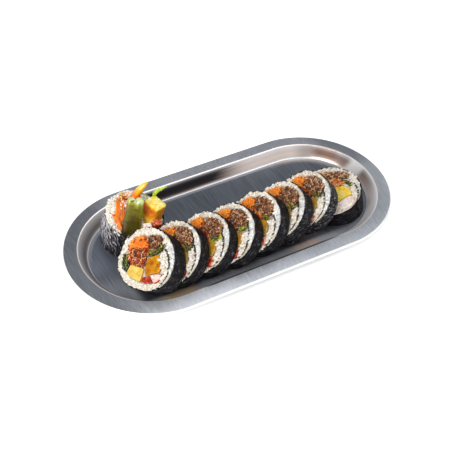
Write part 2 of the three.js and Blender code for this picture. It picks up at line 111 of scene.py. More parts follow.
MIDDLE = {
    "carrot": [(-18.6, -4.5), (-20.8, -0.5), (-20.4, 6.4), (-17.6, 10.9), (-13.2, 15), (-11.9, 13.6), (-10.2, 10.6),
               (-8.3, 8.2), (-12, 2.6)],
    "beef": [(-12.6, 15.2), (-8.8, 18.7), (-4.6, 20.8), (0, 21.6), (4.2, 20.7), (7.2, 18.6), (8.4, 16.2), (8, 13.6),
             (5.8, 11.2), (2.8, 9.4), (-2, 8.6), (-7.8, 8.2), (-10, 11)],
    "greens": [(2.9, 9), (5.2, 7.9), (8.6, 9.6), (10.8, 13), (10.4, 16.6), (8.8, 17.2), (8.4, 13.6), (6.1, 11)],
    "shreds": [(-18.2, -5.2), (-12, 2), (-7.9, 7.8), (-2, 8.2), (2.8, 8.8), (4.8, 7.6), (0.4, 0.8), (3, -5),
               (-2.2, -7), (-8.6, -9.6), (-14, -8)],
    "spinach": FIRST["spinach"],
    "egg": FIRST["egg"],
    "radish": [(0.8, 0.8), (5.2, 7.5), (8.8, 9.2), (11.6, 7.9), (14.6, 5.2), (16.4, 0.4), (13.2, -3.6), (9.2, -8.2),
               (3.6, -4.6)],
    "crab": [(8.4, -11.7), (9.9, -8.2), (13.4, -3.8), (15.6, -5.6), (13.6, -12.4), (10.2, -14.7)],
    "ham": [(13.9, -3.6), (16.9, -0.4), (19.6, -1.6), (21.6, -5.6), (19.4, -8.6), (14.4, -12.2), (16, -5.8)],
}
LAST = {
    "carrot": [(-21.4, -6), (-21.8, 0.6), (-16.4, 1.6), (-13, 2), (-10.9, 3), (-10.8, -2.6), (-15.5, -7)],
    "beef": [(-21.2, 1.6), (-18.6, 6.9), (-16.8, 12.5), (-13.3, 17.7), (-9.9, 19.4), (-7.8, 18.4), (-8.2, 14.5),
             (-9.9, 11.8), (-10.6, 7), (-10.8, 3.6), (-13, 2.4), (-16.4, 2)],
    "shreds": [(-10.4, 3.4), (-10, 9.2), (-4.2, 13.4), (-2.2, 11.6), (-2, 6), (-4.5, 0.5), (-10.2, -2.6)],
    "greens": [(-9.5, 10.2), (-9.2, 12), (-6.9, 14.8), (-3.6, 17), (0.7, 18.9), (2, 17.2), (-2, 15.2),
               (-5.9, 12.9)],
    "radish": [(-1.5, 5.8), (-1.8, 12.4), (1.5, 14.2), (6.1, 15.9), (10.1, 14.7), (11, 9.6), (12.1, 6.6),
               (13.8, 3.6), (11, -2), (4, -4), (-2.6, 0.5)],
    "crab": [(14.2, 3.8), (12.5, 6.8), (11.4, 9.8), (10.7, 14.7), (16.7, 15.7), (19.9, 12.1), (21.8, 7.4), (21.4, 3),
             (17.5, -1.5), (13, -1)],
    "egg": [(-10, -4.4), (-3.4, -0.4), (4, -4.6), (8, -3.6), (7, -12), (-2, -13.4), (-9, -11)],
    "ham": [(8.4, -3.4), (12.6, -1.7), (17.2, -2.2), (18, -6.4), (13.6, -10), (7.6, -10.5)],
    "spinach": [(-15.4, -7.6), (-10.4, -4.6), (-9.6, -11.4), (-12.6, -13.6), (-16.8, -10.4)],
}

# How the greens and the spinach are folded: the line they follow on the face, and how wide the bundle is.
FOLDS = {
    1: {"greens": ([(-1.9, 3.4), (0.4, 7.6), (3, 12.6), (5, 18.6)], 3.4),
        "spinach": ([(-16.8, -7.8), (-14, -11.4), (-9, -16.4)], 5.4)},
    2: {"greens": ([(4.6, 8.6), (8, 9.4), (10.4, 12.4), (9.8, 16.6)], 2.6)},
    3: {"greens": ([(3.4, 7.4), (7.2, 8.2), (10, 11.8), (8.6, 16.4)], 3.8)},
    4: {"greens": ([(2.6, 9.2), (5.8, 10.6), (7.4, 14), (5.6, 18)], 2.4)},
    5: {"greens": ([(3.6, 8.4), (6.4, 9.2), (8.4, 10.6)], 1.4)},
    6: {"greens": ([(-3.8, 8.6), (0.6, 11.2), (4.8, 11.6), (8.6, 11)], 2.4)},
    7: {"greens": ([(-2.8, 8.2), (2.6, 9.4), (6.4, 10.8), (9.6, 12.4)], 1.8)},
    8: {"greens": ([(-9, 11), (-5.2, 14), (-1.6, 16.2), (1.4, 18)], 1.5)},
}

# The slices from left to right: the middle of the front face, how far it is turned and tipped up, its thickness, how
# oval it is and how far a side is pressed flat, whose share "hold" goes right through. A wedge is thicker below than
# above, girth is for a thick stretch of the roll, and the last slice lies down, with its middle at that rise.
SLICES = [
    {"x": -90.2, "y": -29.5, "turn": 4.2, "tip": 46.8, "thick": 15.8, "oval": 0.041, "flat": 4, "hold": 1,
     "wedge": 0.107, "girth": 1.046, "side": -54, "spread": 44},
    {"x": -67.7, "y": -29, "turn": 4.5, "tip": 45, "thick": 12.3, "oval": 0.01, "flat": 1},
    {"x": -44.7, "y": -29.5, "turn": 2, "tip": 49, "thick": 13, "oval": -0.01, "flat": 0.6},
    {"x": -22.7, "y": -30, "turn": -0.5, "tip": 46, "thick": 12.8, "oval": 0.015, "flat": 1.2},
    {"x": 0.3, "y": -29.5, "turn": 2, "tip": 41.5, "thick": 13.4, "oval": -0.008, "flat": 0.8},
    {"x": 23.2, "y": -26.4, "turn": -3.5, "tip": 47.5, "thick": 13.8, "oval": -0.014, "flat": 1},
    {"x": 47.3, "y": -24.5, "turn": 0.5, "tip": 49, "thick": 13.9, "oval": -0.012, "flat": 0.8},
    {"x": 80.9, "y": -14.3, "turn": -18.5, "tip": 75.2, "thick": 20, "oval": 0.016, "flat": 0,
     "girth": 1.083, "rise": 13.9},
]

# The end piece: its foot, its lean and towards which side, its size, and where its side swells out.
END = {"x": -78.6, "y": 23.1, "lean": 10, "towards": -40, "radius": 23.2, "height": 24,
       "bulge": {"by": 2.2, "towards": 149}}
# Each is a rounded block where it leaves the rice. Above that its top drifts sideways and narrows to that share.
END_FILLINGS = {
    "green_slab": {"at": (-8.6, -12.2), "size": (14.5, 5), "turn": -18, "round": 1.4, "top": 45, "drift": (6.2, 11.8),
                   "tip": 0.83},
    "egg": {"at": (10.8, -3.4), "size": (12.6, 15.5), "turn": 4, "round": 1, "top": 38, "drift": (3.2, 0.2),
            "tip": 0.87},
    "carrot_stick": {"at": (-4.5, 14.6), "size": (9, 4), "turn": -8, "round": 0.8, "top": 45.5, "drift": (19.5, -2.2),
                     "tip": 0.35},
    "ham": {"at": (10.2, -15.2), "size": (6.5, 5.5), "turn": -8, "round": 0.8, "top": 30, "drift": (0.8, 0)},
    "crab": {"at": (3, -14.8), "size": (6.4, 5), "turn": -12, "round": 1.2, "top": 28.5, "drift": (0, 0)},
    "carrot_shreds": {"at": (-13.6, 5), "size": (7, 15), "turn": 12, "round": 3, "top": 27.5, "drift": (-0.6, 0)},
}

# Lines that loose fillings of the end piece follow, up from its rice.
STICK_LINE = [(-3.5, 14.4, 8), (-2.5, 14, 20), (1.6, 12.6, 28), (4.9, 12.2, 34), (7.4, 12, 39.4),
              (10, 11.9, 43), (13.6, 11.8, 46.4)]
STICK_WIDTHS = {8: 2.4, 24: 3.4, 34: 3.9, 40: 3.4, 43.5: 2.4, 46.4: 0.4}
STEM_LINE = [(7.4, 8.6, 30.5), (6.6, 9.4, 34.5), (7.6, 9.4, 37.4), (9.4, 8, 38), (10.6, 5.6, 37.2),
             (10.4, 3.6, 35.4), (9.6, 2.4, 33)]
LEAF_LINE = [(14, 3.6, 33), (14.4, 3.4, 38), (16.2, 4.4, 39.6), (19.4, 5.8, 40.4), (23, 6.4, 40.6),
             (28.4, 7.4, 41.6)]
LEAF_WIDTHS = {0: 0.35, 0.26: 0.45, 0.36: 1.7, 0.5: 1.5, 0.7: 1.25, 0.9: 0.7, 1: 0.2}
# Where orange crumbs lie: behind the slab, and between the stem and the egg.
CRUMB_PLACES = [(-6, 18.2, 30.4), (-4.2, 19.6, 31.2), (-2, 18.8, 31), (0.2, 19.4, 30.6), (2.2, 18.6, 30),
                (-7.6, 14.6, 30.6), (-2.8, 16.2, 31.4), (0.8, 16.4, 30.8), (-5, 12.4, 31), (-6.8, 16.6, 30.6),
                (-8.6, 11.4, 30), (-0.6, 13.8, 31.4), (6, 9.4, 33.6), (7.6, 8.6, 35), (5.2, 8, 31.4),
                (8.2, 9.6, 33)]
# Where red shreds lie in the end piece: the middle of a tuft, how many shreds and how wide it spreads.
RED_TUFTS = [((-3.6, 14.6), 9, 1), ((-6.2, 9), 9, 1.1), ((-4.4, 3), 6, 1.2)]

# The tray: outside sizes and sheet, how far the rim and the wall reach inwards, the radii of the bends at foot,
# shoulder and hem, how long the hem is and how far the rim falls to it.
TRAY = {"length": 278, "width": 136, "depth": 9, "sheet": 0.7, "rim": 11.4, "wall": 7.4, "foot": 2.2,
        "shoulder": 1.5, "hem_bend": 0.7, "hem": 1.4, "fall": 0.8}
FLOOR_RINGS = (4, 20, 36)


# ---- Chance and roughness, the same each run ----

# A slice adds its number to the seed of what is made, and the end piece counts as number 40.
RICE_SEED, FILLING_SEED, END_SEED, SPECK_SEED = 100, 200, 300, 400
END_NUMBER = 40
# A little over one full turn, in radians.
ANY_TURN = (0, 6.3)


def dice(seed):
    """A source of chance that gives the same numbers each run."""
    return np.random.default_rng(seed)


def rough(points, size, seed):
    """Smooth random values from -1 to 1 that change over about that size."""
    cell = np.asarray(points, float) / size + 31.7 * (seed + 1)
    base = np.floor(cell).astype(np.int64)
    part = cell - base
    part = part * part * (3 - 2 * part)
    total = np.zeros(len(cell))
    for corner in itertools.product((0, 1), repeat=3):
        key = (base + corner) @ np.array([73856093, 19349663, 83492791])
        key = (key ^ (key >> 13)) * 1274126177 & 0xFFFFFFF
        key = (key ^ (key >> 15)) * 60493 & 0xFFFFFF
        weight = np.prod(np.where(corner, part, 1 - part), axis=1)
        total += weight * key / 0xFFFFFF
    return 2 * total - 1


# ---- Gathering meshes into pieces ----


class Heap:
    """Meshes gathered into one piece, in millimetres, with marks that its finish can read."""

    def __init__(self, marks=("tone", "skin")):
        self.points, self.faces, self.count = [], [], 0
        self.marks = {name: [] for name in marks}

    def add(self, points, *faces, **marks):
        """Adds a mesh. Each mark is one value or one for every point, and a half where it is left out."""
        points = np.asarray(points, float)
        self.points.append(points)
        for rows in faces:
            if len(rows):
                self.faces.append(np.asarray(rows, np.int64) + self.count)
        for name, kept in self.marks.items():
            kept.append(np.broadcast_to(np.asarray(marks.get(name, 0.5), float), (len(points),)))
        self.count += len(points)

    def add_copies(self, cut, points, triangles, **marks):
        """Adds copies of a shape, placed on the cut. Each mark is one value or one for every copy."""
        each = points.shape[1]
        marks = {name: np.repeat(value, each) if np.ndim(value) else value for name, value in marks.items()}
        self.add(cut.place(points.reshape(-1, 3)), triangles, **marks)

    def add_strand(self, cut, *shape, tone):
        """Adds a tube of that shape, placed on the cut."""
        points, quads, caps = tube(*shape)
        self.add(cut.place(points), quads, caps, tone=np.clip(tone, 0, 1))

    def piece(self, name, finish, slot, replaces=(), lift=True):
        """Makes the object, in metres, riding on the plate. Food is lifted clear of the tray's sheet."""
        points = np.concatenate(self.points)
        if lift:
            points[:, 2] = np.maximum(points[:, 2], TRAY_TOP + 0.05)
        mesh = bpy.data.meshes.new(name)
        mesh.vertices.add(len(points))
        mesh.vertices.foreach_set("co", (points * MM).astype(np.float32).ravel())
        corners = np.concatenate([rows.ravel() for rows in self.faces])
        sides = np.concatenate([np.full(len(rows), rows.shape[1]) for rows in self.faces])
        starts = np.concatenate([[0], np.cumsum(sides)[:-1]])
        mesh.loops.add(len(corners))
        mesh.loops.foreach_set("vertex_index", corners.astype(np.int32))
        mesh.polygons.add(len(sides))
        mesh.polygons.foreach_set("loop_start", starts.astype(np.int32))
        mesh.polygons.foreach_set("use_smooth", np.ones(len(sides), bool))
        mesh.update(calc_edges=True)
        for mark, kept in self.marks.items():
            layer = mesh.attributes.new(mark, "FLOAT", "POINT")
            layer.data.foreach_set("value", np.concatenate(kept).astype(np.float32))
        work = bmesh.new()
        work.from_mesh(mesh)
        bmesh.ops.recalc_face_normals(work, faces=work.faces)
        work.to_mesh(mesh)
        work.free()
        return dress(bpy.data.objects.new(name, mesh), finish, slot, replaces)


def dress(thing, finish, slot, replaces=()):
    """Links a piece, gives it its finish and lets it ride on the plate."""
    bpy.context.scene.collection.objects.link(thing)
    thing.data.materials.append(finish)
    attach(thing, "root")
    if replaces:
        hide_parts(*replaces)
    return thing


def grid_faces(rows, columns, closed=True):
    """Quads between rows of points, each row closed into a ring or open."""
    across = columns if closed else columns - 1
    i, j = np.meshgrid(np.arange(rows - 1), np.arange(across), indexing="ij")
    k = (j + 1) % columns
    near, far = i * columns, (i + 1) * columns
    return np.stack([near + j, near + k, far + k, far + j], -1).reshape(-1, 4)


def drum(rows, first, last):
    """A closed body from rows of rings and a tip at each end, as points, quads and triangles."""
    count, columns = rows.shape[:2]
    ring, tips = np.arange(columns), count * columns
    caps = np.concatenate([fan(ring, tips), fan(ring + tips - columns, tips + 1)])
    return np.concatenate([rows.reshape(-1, 3), [first, last]]), grid_faces(count, columns), caps


def sheet_faces(rows, columns):
    """Faces of a closed sheet from two sides, each with that many rows of points."""
    size = rows * columns
    side = grid_faces(rows, columns, closed=False)
    i, j = np.arange(columns - 1), np.arange(rows - 1) * columns
    top = i + size - columns
    rims = [np.stack([i, i + 1, i + 1 + size, i + size], -1),
            np.stack([top, top + size, top + 1 + size, top + 1], -1)]
    for k in (j, j + columns - 1):
        rims.append(np.stack([k, k + columns, k + columns + size, k + size], -1))
    return [side, side[:, ::-1] + size, *rims]


def fan(ring, tip):
    """Triangles from a ring of indices to a tip."""
    return np.stack([ring, np.roll(ring, -1), np.full(len(ring), tip)], -1)


def turns(yaw, pitch, roll):
    """Rotation matrices, one for each row of the angles in radians."""
    yaw, pitch, roll = np.broadcast_arrays(*map(np.atleast_1d, (yaw, pitch, roll)))
    cz, cy, cx = np.cos(yaw), np.cos(pitch), np.cos(roll)
    sz, sy, sx = np.sin(yaw), np.sin(pitch), np.sin(roll)
    rows = [
        [cz * cy, cz * sy * sx - sz * cx, cz * sy * cx + sz * sx],
        [sz * cy, sz * sy * sx + cz * cx, sz * sy * cx - cz * sx],
        [-sy, cy * sx, cy * cx],
    ]
    return np.moveaxis(np.array(rows), -1, 0)


def oval_grain(sides=7, rings=4, blunt=0.75):
    """A grain of length 1 and width 1 along X, as points and triangles."""
    points = [(-0.5, 0, 0)]
    for i in range(1, rings + 1):
        angle = math.pi * i / (rings + 1)
        radius = 0.5 * math.sin(angle) ** blunt
        for j in range(sides):
            turn = 2 * math.pi * (j + 0.5 * (i % 2)) / sides
            points.append((-0.5 * math.cos(angle), radius * math.cos(turn), radius * math.sin(turn)))
    points.append((0.5, 0, 0))
    quads = grid_faces(rings, sides) + 1
    first = np.arange(1, sides + 1)
    last = first + (rings - 1) * sides
    caps = [fan(first, 0), fan(last, len(points) - 1)]
    return np.array(points), np.concatenate([quads[:, [0, 1, 2]], quads[:, [0, 2, 3]], *caps])


def lump_shape(seed, amount=0.5):
    """A crumb about 1 across with an uneven surface."""
    work = bmesh.new()
    bmesh.ops.create_icosphere(work, subdivisions=1, radius=0.5)
    points = np.array([v.co for v in work.verts])
    triangles = np.array([[v.index for v in f.verts] for f in work.faces])
    work.free()
    points *= (1 + amount * rough(points, 0.35, seed))[:, None]
    return points, triangles


def swarm(shape, centres, rotations, scales):
    """Copies of one shape, as points and triangles. Points come back with one row for each copy."""
    points, triangles = shape
    placed = np.einsum("kij,kvj->kvi", rotations, points[None] * scales[:, None, :]) + centres[:, None, :]
    faces = triangles[None] + (np.arange(len(centres)) * len(points))[:, None, None]
    return placed, faces.reshape(-1, 3)


def tube(path, radii, sides=6, flat=1.0, lean=(0.3, 0.2, 1.0), ends=0.55):
    """A closed strand along a path, with a radius at each point, rounded ends and an oval section."""
    path = np.asarray(path, float)
    radii = np.broadcast_to(radii, (len(path),)).copy()
    along = np.gradient(path, axis=0)
    along /= np.linalg.norm(along, axis=1)[:, None]
    side = np.cross(along, lean)
    side /= np.linalg.norm(side, axis=1)[:, None]
    up = np.cross(side, along)
    first, last = path[0] - along[0] * radii[0] * 0.4, path[-1] + along[-1] * radii[-1] * 0.4
    path = np.concatenate([[first], path, [last]])
    radii = np.concatenate([[radii[0] * ends], radii, [radii[-1] * ends]])
    side, up = (np.concatenate([v[:1], v, v[-1:]]) for v in (side, up))
    turn = 2 * np.pi * np.arange(sides) / sides
    across = side[:, None] * (np.cos(turn) * radii[:, None])[..., None]
    above = up[:, None] * (np.sin(turn) * radii[:, None] * flat)[..., None]
    return drum(path[:, None] + across + above, path[0], path[-1])


def block(outline, back, front, corner, steps=4, inner=5):
    """A closed body with that outline, from a back level to a front level, with rounded edges.

    Returns points, how near the edge each is on the end faces, quads and triangles."""
    middle = outline.mean(0)
    reach = np.linalg.norm(outline - middle, axis=1).mean()
    rounding = [(1 - math.cos(a), 1 - math.sin(a)) for a in np.linspace(0, math.pi / 2, 4)]
    face = [(t, 0.0) for t in np.linspace(0, 1, inner, endpoint=False)[1:]]
    profile = [(share * (1 - corner / reach), back) for share, _ in face]
    profile += [(1 - out * corner / reach, back + down * corner) for out, down in reversed(rounding)]
    profile += [(1.0, z) for z in np.linspace(back + corner, front - corner, steps + 2)[1:-1]]
    profile += [(1 - out * corner / reach, front - down * corner) for out, down in rounding]
    profile += [(share * (1 - corner / reach), front) for share, _ in reversed(face)]
    count = len(outline)
    rows = [np.column_stack([middle + (outline - middle) * share, np.full(count, level)]) for share, level in profile]
    near = np.concatenate([np.repeat([share for share, _ in profile], count), [0, 0]])
    points, quads, caps = drum(np.array(rows), [*middle, back], [*middle, front])
    return points, near, quads, caps


# ---- The cut face ----


def on_face(h, v):
    """Points at those places on the cut face, level with its middle."""
    return np.column_stack([np.ravel(h), np.ravel(v), np.zeros(np.size(h))])


def level_face(height):
    """A flat face: a function that gives that height for each of its points."""
    return lambda points: np.full(len(points), float(height))


def degrees_from(side, points):
    """How far round from that side each point lies, from -180 to 180."""
    return (np.degrees(np.arctan2(points[:, 1], points[:, 0])) - side + 540) % 360 - 180


def edge_distance(filling, points):
    """How far points on the cut face lie outside a filling, given by its outline or as a rounded block.

    It is negative inside."""
    if not isinstance(filling, dict):
        return outline_distance(filling, points)
    angle = math.radians(filling["turn"])
    away = points[:, :2] - np.array(filling["at"])
    along = away @ np.array([math.cos(angle), math.sin(angle)])
    across = away @ np.array([-math.sin(angle), math.cos(angle)])
    corner = filling["round"]
    length, width = filling["size"]
    over = np.stack([np.abs(along) - length / 2 + corner, np.abs(across) - width / 2 + corner])
    return np.hypot(*np.maximum(over, 0)) + np.minimum(over.max(0), 0) - corner


def outline_distance(outline, points):
    """How far points lie outside an outline, and less than 0 inside it."""
    nearest = np.full(len(points), np.inf)
    inside = np.zeros(len(points), bool)
    h, v = points[:, 0], points[:, 1]
    for (ah, av), (bh, bv) in zip(outline, [*outline[1:], outline[0]]):
        eh, ev = bh - ah, bv - av
        share = np.clip(((h - ah) * eh + (v - av) * ev) / (eh * eh + ev * ev), 0, 1)
        nearest = np.minimum(nearest, np.hypot(h - ah - eh * share, v - av - ev * share))
        inside ^= ((av > v) != (bv > v)) & (h < ah + (v - av) * eh / (ev or 1e-9))
    return np.where(inside, -nearest, nearest)


def within(cut, name, margin):
    """How far points lie outside a filling's room, once its edge is drawn in by that margin."""
    return lambda points: edge_distance(cut.layout[name], points) + GAP / 2 + margin


def lap_distance(points, lap, wrap=ROLL_RADIUS - 0.25):
    """How far points lie outside the lap. It is negative inside, and far below 0 where there is no lap."""
    start, end, radius = lap
    angle = np.degrees(np.arctan2(points[:, 1], points[:, 0]))
    lap_radius = radius + (wrap - radius) * (start - angle) / (start - end)
    away = np.hypot(points[:, 0], points[:, 1]) - lap_radius
    return np.where((angle > end) & (angle < start + 2), away, -9)


def rice_room(points, table, radius=RICE_RADIUS):
    """How far points lie outside the rice, which keeps clear of the fillings in the table."""
    reach = np.hypot(points[:, 0], points[:, 1]) - radius
    for filling in table.values():
        reach = np.maximum(reach, GAP - edge_distance(filling, points))
    return reach


def spread(reach, spacing, chance, extent=25.5):
    """Points on the face about that far apart, wherever reach is negative."""
    steps = np.arange(-extent, extent, spacing)
    h, v = np.meshgrid(steps, steps * 0.9)
    h[::2] += spacing / 2
    points = on_face(h, v)
    points[:, :2] += chance.uniform(-0.38, 0.38, (len(points), 2)) * spacing
    return points[reach(points) < 0]


def outline_of(reach, count=44, extent=26):
    """The edge of where reach is negative, seen from the middle of that region."""
    steps = np.arange(-extent, extent, 0.5)
    points = on_face(*np.meshgrid(steps, steps))
    inside = points[reach(points) < 0]
    deepest = inside[np.argmin(reach(inside))][:2]
    middle = 0.5 * (inside[:, :2].mean(0) + deepest)
    angles = 2 * np.pi * np.arange(count) / count
    away = np.stack([np.cos(angles), np.sin(angles)], -1)
    radii = np.arange(0.1, 16, 0.1)
    tested = middle + away[:, None] * radii[None, :, None]
    out = reach(on_face(tested[..., 0], tested[..., 1])).reshape(count, -1) > 0
    edge = np.maximum(radii[np.argmax(out, axis=1)], 0.8)
    edge = (np.roll(edge, 1) + 2 * edge + np.roll(edge, -1)) / 4
    return middle + away * edge[:, None]


def rounded(outline, inset, count, share=0.25):
    """The outline with its corners rounded and drawn in, as that many evenly spaced points."""
    points = np.array(outline, float)
    after = np.roll(points, -1, 0)
    if (points[:, 0] * after[:, 1] - points[:, 1] * after[:, 0]).sum() < 0:
        points = points[::-1]
    for _ in range(2):
        after = np.roll(points, -1, 0)
        corners = [points + share * (after - points), after + share * (points - after)]
        points = np.stack(corners, 1).reshape(-1, 2)
    points = np.concatenate([points, points[:1]])
    length = np.concatenate([[0], np.cumsum(np.linalg.norm(np.diff(points, axis=0), axis=1))])
    at = np.linspace(0, length[-1], count, endpoint=False)
    points = np.column_stack([np.interp(at, length, points[:, k]) for k in (0, 1)])
    edge = np.roll(points, -1, 0) - np.roll(points, 1, 0)
    inward = np.column_stack([-edge[:, 1], edge[:, 0]])
    return points + inset * inward / np.linalg.norm(inward, axis=1)[:, None]


class Cut:
    """One slice of the roll: it places points of the round, upright roll on the tray."""

    def __init__(self, number, x, y, turn, tip, thick, oval, flat, hold=0.0, wedge=0.0, girth=1.0, side=FLAT_SIDE,
                 spread=FLAT_SPREAD, rise=None):
        turn, tip = math.radians(turn), math.radians(tip)
        self.number, self.thick, self.oval, self.flat, self.girth = number, thick, oval, flat, girth
        self.hold, self.wedge, self.side, self.spread = hold, wedge, side, spread
        self.lying = rise is not None
        self.towards = np.array([-math.cos(tip) * math.cos(turn), -math.cos(tip) * math.sin(turn), math.sin(tip)])
        self.across = np.cross([0, 0, 1], self.towards)
        self.across /= np.linalg.norm(self.across)
        self.upwards = np.cross(self.towards, self.across)
        self.middle = np.array([x, y, FLOOR + (rise if self.lying else self.lowest())])
        self.name = f"slice_{number}"
        self.layout = {1: FIRST, 8: LAST}.get(number, MIDDLE)
        self.lap = LAST_LAP if number == 8 else LAP

    def lowest(self):
        """How far the back face's lowest point lies under the middle of the front one."""
        around = np.radians(np.arange(360))
        ring = on_face(np.cos(around), np.sin(around)) * ROLL_RADIUS
        ring[:, 2] = -self.thick
        down = ring[:, 1] * self.scale(ring) * self.upwards[2] - self.depth(ring) * self.towards[2]
        return -down.min()

    def depth(self, points):
        """How far back the slice goes behind each point. The lying one is cut at a slant by the floor."""
        if not self.lying:
            return self.thick * (1 - self.wedge * points[:, 1] / ROLL_RADIUS)
        return (self.middle[2] - FLOOR - 0.1 + points[:, 1] * self.upwards[2]) / self.towards[2]

    def scale(self, points):
        """How far out each point moves: the slice is a little oval, pressed flat on a side and narrower behind."""
        angle = np.arctan2(points[:, 1], points[:, 0])
        dent = self.flat / ROLL_RADIUS * np.exp(-((degrees_from(self.side, points) / self.spread) ** 2))
        front = np.clip(1 + points[:, 2] / self.thick, 0, 1)
        dent = dent * (self.hold + (1 - self.hold) * front)
        return self.girth * (1 + self.oval * np.cos(2 * angle) - dent - DRAWN_IN * (1 - front))

    def place(self, points):
        points = np.asarray(points, float)
        flat = points[:, :2] * self.scale(points)[:, None]
        behind = points[:, 2] < 0
        level = np.where(behind, points[:, 2] * self.depth(points) / self.thick, points[:, 2])
        moved = np.outer(flat[:, 0], self.across) + np.outer(flat[:, 1], self.upwards)
        return self.middle + moved + np.outer(level, self.towards)

    def turned(self, points, side):
        """Points that were laid on the front face, moved to the face on that side."""
        if side == BACK:
            points[..., 2] = -self.thick - points[..., 2]
        return points


CUTS = [Cut(i + 1, **numbers) for i, numbers in enumerate(SLICES)]


class Standing:
    """The roll's end, which stands on its slanting cut."""

    def __init__(self, x, y, lean, towards, radius, height, bulge):
        lean, towards = math.radians(lean), math.radians(towards)
        axis = Vector((-math.sin(towards), math.cos(towards), 0))
        self.turn = np.array(Matrix.Rotation(lean, 3, axis))
        self.middle = np.array([x, y, FLOOR])
        self.radius, self.height, self.bulge, self.lap = radius, height, bulge, LAP
        self.name, self.number = "end", END_NUMBER

    def base(self, points):
        """The level at which the axis line through each point meets the floor."""
        return -(points[:, 0] * self.turn[2, 0] + points[:, 1] * self.turn[2, 1]) / self.turn[2, 2]

    def place(self, points):
        """The side swells out half way up."""
        points = np.array(points, float)
        angle = np.arctan2(points[:, 1], points[:, 0])
        half_way = np.sin(np.pi * np.clip(points[:, 2] / self.height, 0, 1))
        facing = np.maximum(0, np.cos(angle - math.radians(self.bulge["towards"])))
        points[:, :2] *= (1 + self.bulge["by"] / self.radius * half_way * facing**2)[:, None]
        return points @ self.turn.T + self.middle


# Rice grains also lie where the carrot shreds are, which rest on top of them.
END_PLACES = {name: filling for name, filling in END_FILLINGS.items() if name != "carrot_shreds"}
END_CUT = Standing(**END)


def loosened(points, filling):
    """Above the rice a loose end drifts sideways and narrows towards its tip."""
    at, top, drift, tip = filling["at"], filling["top"], filling["drift"], filling.get("tip", 1)
    out = np.clip((points[:, 2] - END["height"]) / (top - END["height"]), 0, 1.05)
    narrow = 1 + (tip - 1) * out
    moved = points.copy()
    for axis in (0, 1):
        moved[:, axis] = at[axis] + (points[:, axis] - at[axis]) * narrow + drift[axis] * out
    return moved


# ---- Finishes ----


class Wire:
    """A socket on its way to the shader, which adds and multiplies like a number."""

    def __init__(self, finish, socket):
        self.finish, self.socket = finish, socket

    def maths(self, operation, first, second):
        return self.finish.node("ShaderNodeMath", {"operation": operation}, {0: first, 1: second})

    def __add__(self, other):
        return self.maths("ADD", self, other)

    __radd__ = __add__

    def __sub__(self, other):
        return self.maths("SUBTRACT", self, other)

    def __rsub__(self, other):
        return self.maths("SUBTRACT", other, self)

    def __mul__(self, other):
        return self.maths("MULTIPLY", self, other)

    __rmul__ = __mul__

    def above(self, low, high):
        """0 below the low value, 1 above the high one, and a smooth step between."""
        return self.finish.node(
            "ShaderNodeMapRange",
            {"interpolation_type": "SMOOTHSTEP"},
            {"Value": self, "From Min": low, "From Max": high},
        )

    def below(self, low, high):
        """1 below the low value, 0 above the high one, and a smooth step between."""
        return 1 - self.above(low, high)

    def between(self, rise, fall):
        """1 from the end of its rise to the start of its fall, each given as two values, and 0 outside them."""
        return self.above(*rise) * self.below(*fall)


class Finish:
    """A procedural material with one Principled shader."""

    def __init__(self, name):
        self.material = bpy.data.materials.new(name)
        self.material.use_nodes = True
        self.tree = self.material.node_tree
        self.shader = self.tree.nodes["Principled BSDF"]
        self.place = self.node("ShaderNodeTexCoord", output="Object")

    def node(self, kind, settings=None, values=None, output=0):
        """Adds a node of that kind with its settings, then the values or wires of its sockets."""
        made = self.tree.nodes.new(kind)
        for name, value in (settings or {}).items():
            if name == "stops":
                self.set_stops(made.color_ramp, value)
            else:
                setattr(made, name, value)
        for name, value in (values or {}).items():
            if isinstance(value, Wire):
                self.tree.links.new(value.socket, made.inputs[name])
            else:
                made.inputs[name].default_value = value
        return Wire(self, made.outputs[output])

    @staticmethod
    def set_stops(ramp, stops):
        """Gives a ramp its stops, each a place from 0 to 1 and a colour as rrggbb."""
        while len(ramp.elements) < len(stops):
            ramp.elements.new(0.5)
        for element, (at, code) in zip(ramp.elements, stops.items()):
            element.position = at
            element.color = (*linear(code), 1)

    def mark(self, name):
        """A value that the piece carries at each of its points."""
        return self.node("ShaderNodeAttribute", {"attribute_name": name}, output="Fac")

    def stretched(self, scale):
        """The place on the piece, measured in steps of one over the scale along each axis."""
        return self.node("ShaderNodeMapping", {}, {"Vector": self.place, "Scale": scale})

    def axis(self, name):
        """How far along X, Y or Z each point of the piece lies, in metres."""
        return self.node("ShaderNodeSeparateXYZ", {}, {"Vector": self.place}, output=name)

    def noise(self, size=1.0, detail=2.0, roughness=0.55, where=None, distortion=0.0):
        """Noise from 0 to 1 whose features are about that many metres across."""
        shape = {"Scale": 1 / size, "Detail": detail, "Roughness": roughness, "Distortion": distortion}
        return self.node("ShaderNodeTexNoise", {}, {"Vector": where or self.place, **shape})

    def ramp(self, value, stops):
        return self.node("ShaderNodeValToRGB", {"stops": stops}, {"Fac": value})

    def mix(self, share, first, second):
        """Between two colours, given as wires, as rrggbb or as four values."""
        first, second = ((*linear(c), 1) if isinstance(c, str) else c for c in (first, second))
        return self.node("ShaderNodeMix", {"data_type": "RGBA"}, {0: share, 6: first, 7: second}, output=2)

    def bump(self, height, depth, strength):
        """A normal from a height, where 1 stands out by that many metres."""
        return self.node("ShaderNodeBump", {}, {"Height": height, "Strength": strength, "Distance": depth})

    def surface(self, **values):
        """Sets the shader's sockets, named with _ for a space."""
        for name, value in values.items():
            socket = self.shader.inputs[name.replace("_", " ")]
            if isinstance(value, Wire):
                self.tree.links.new(value.socket, socket)
            else:
                socket.default_value = value
        return self.material
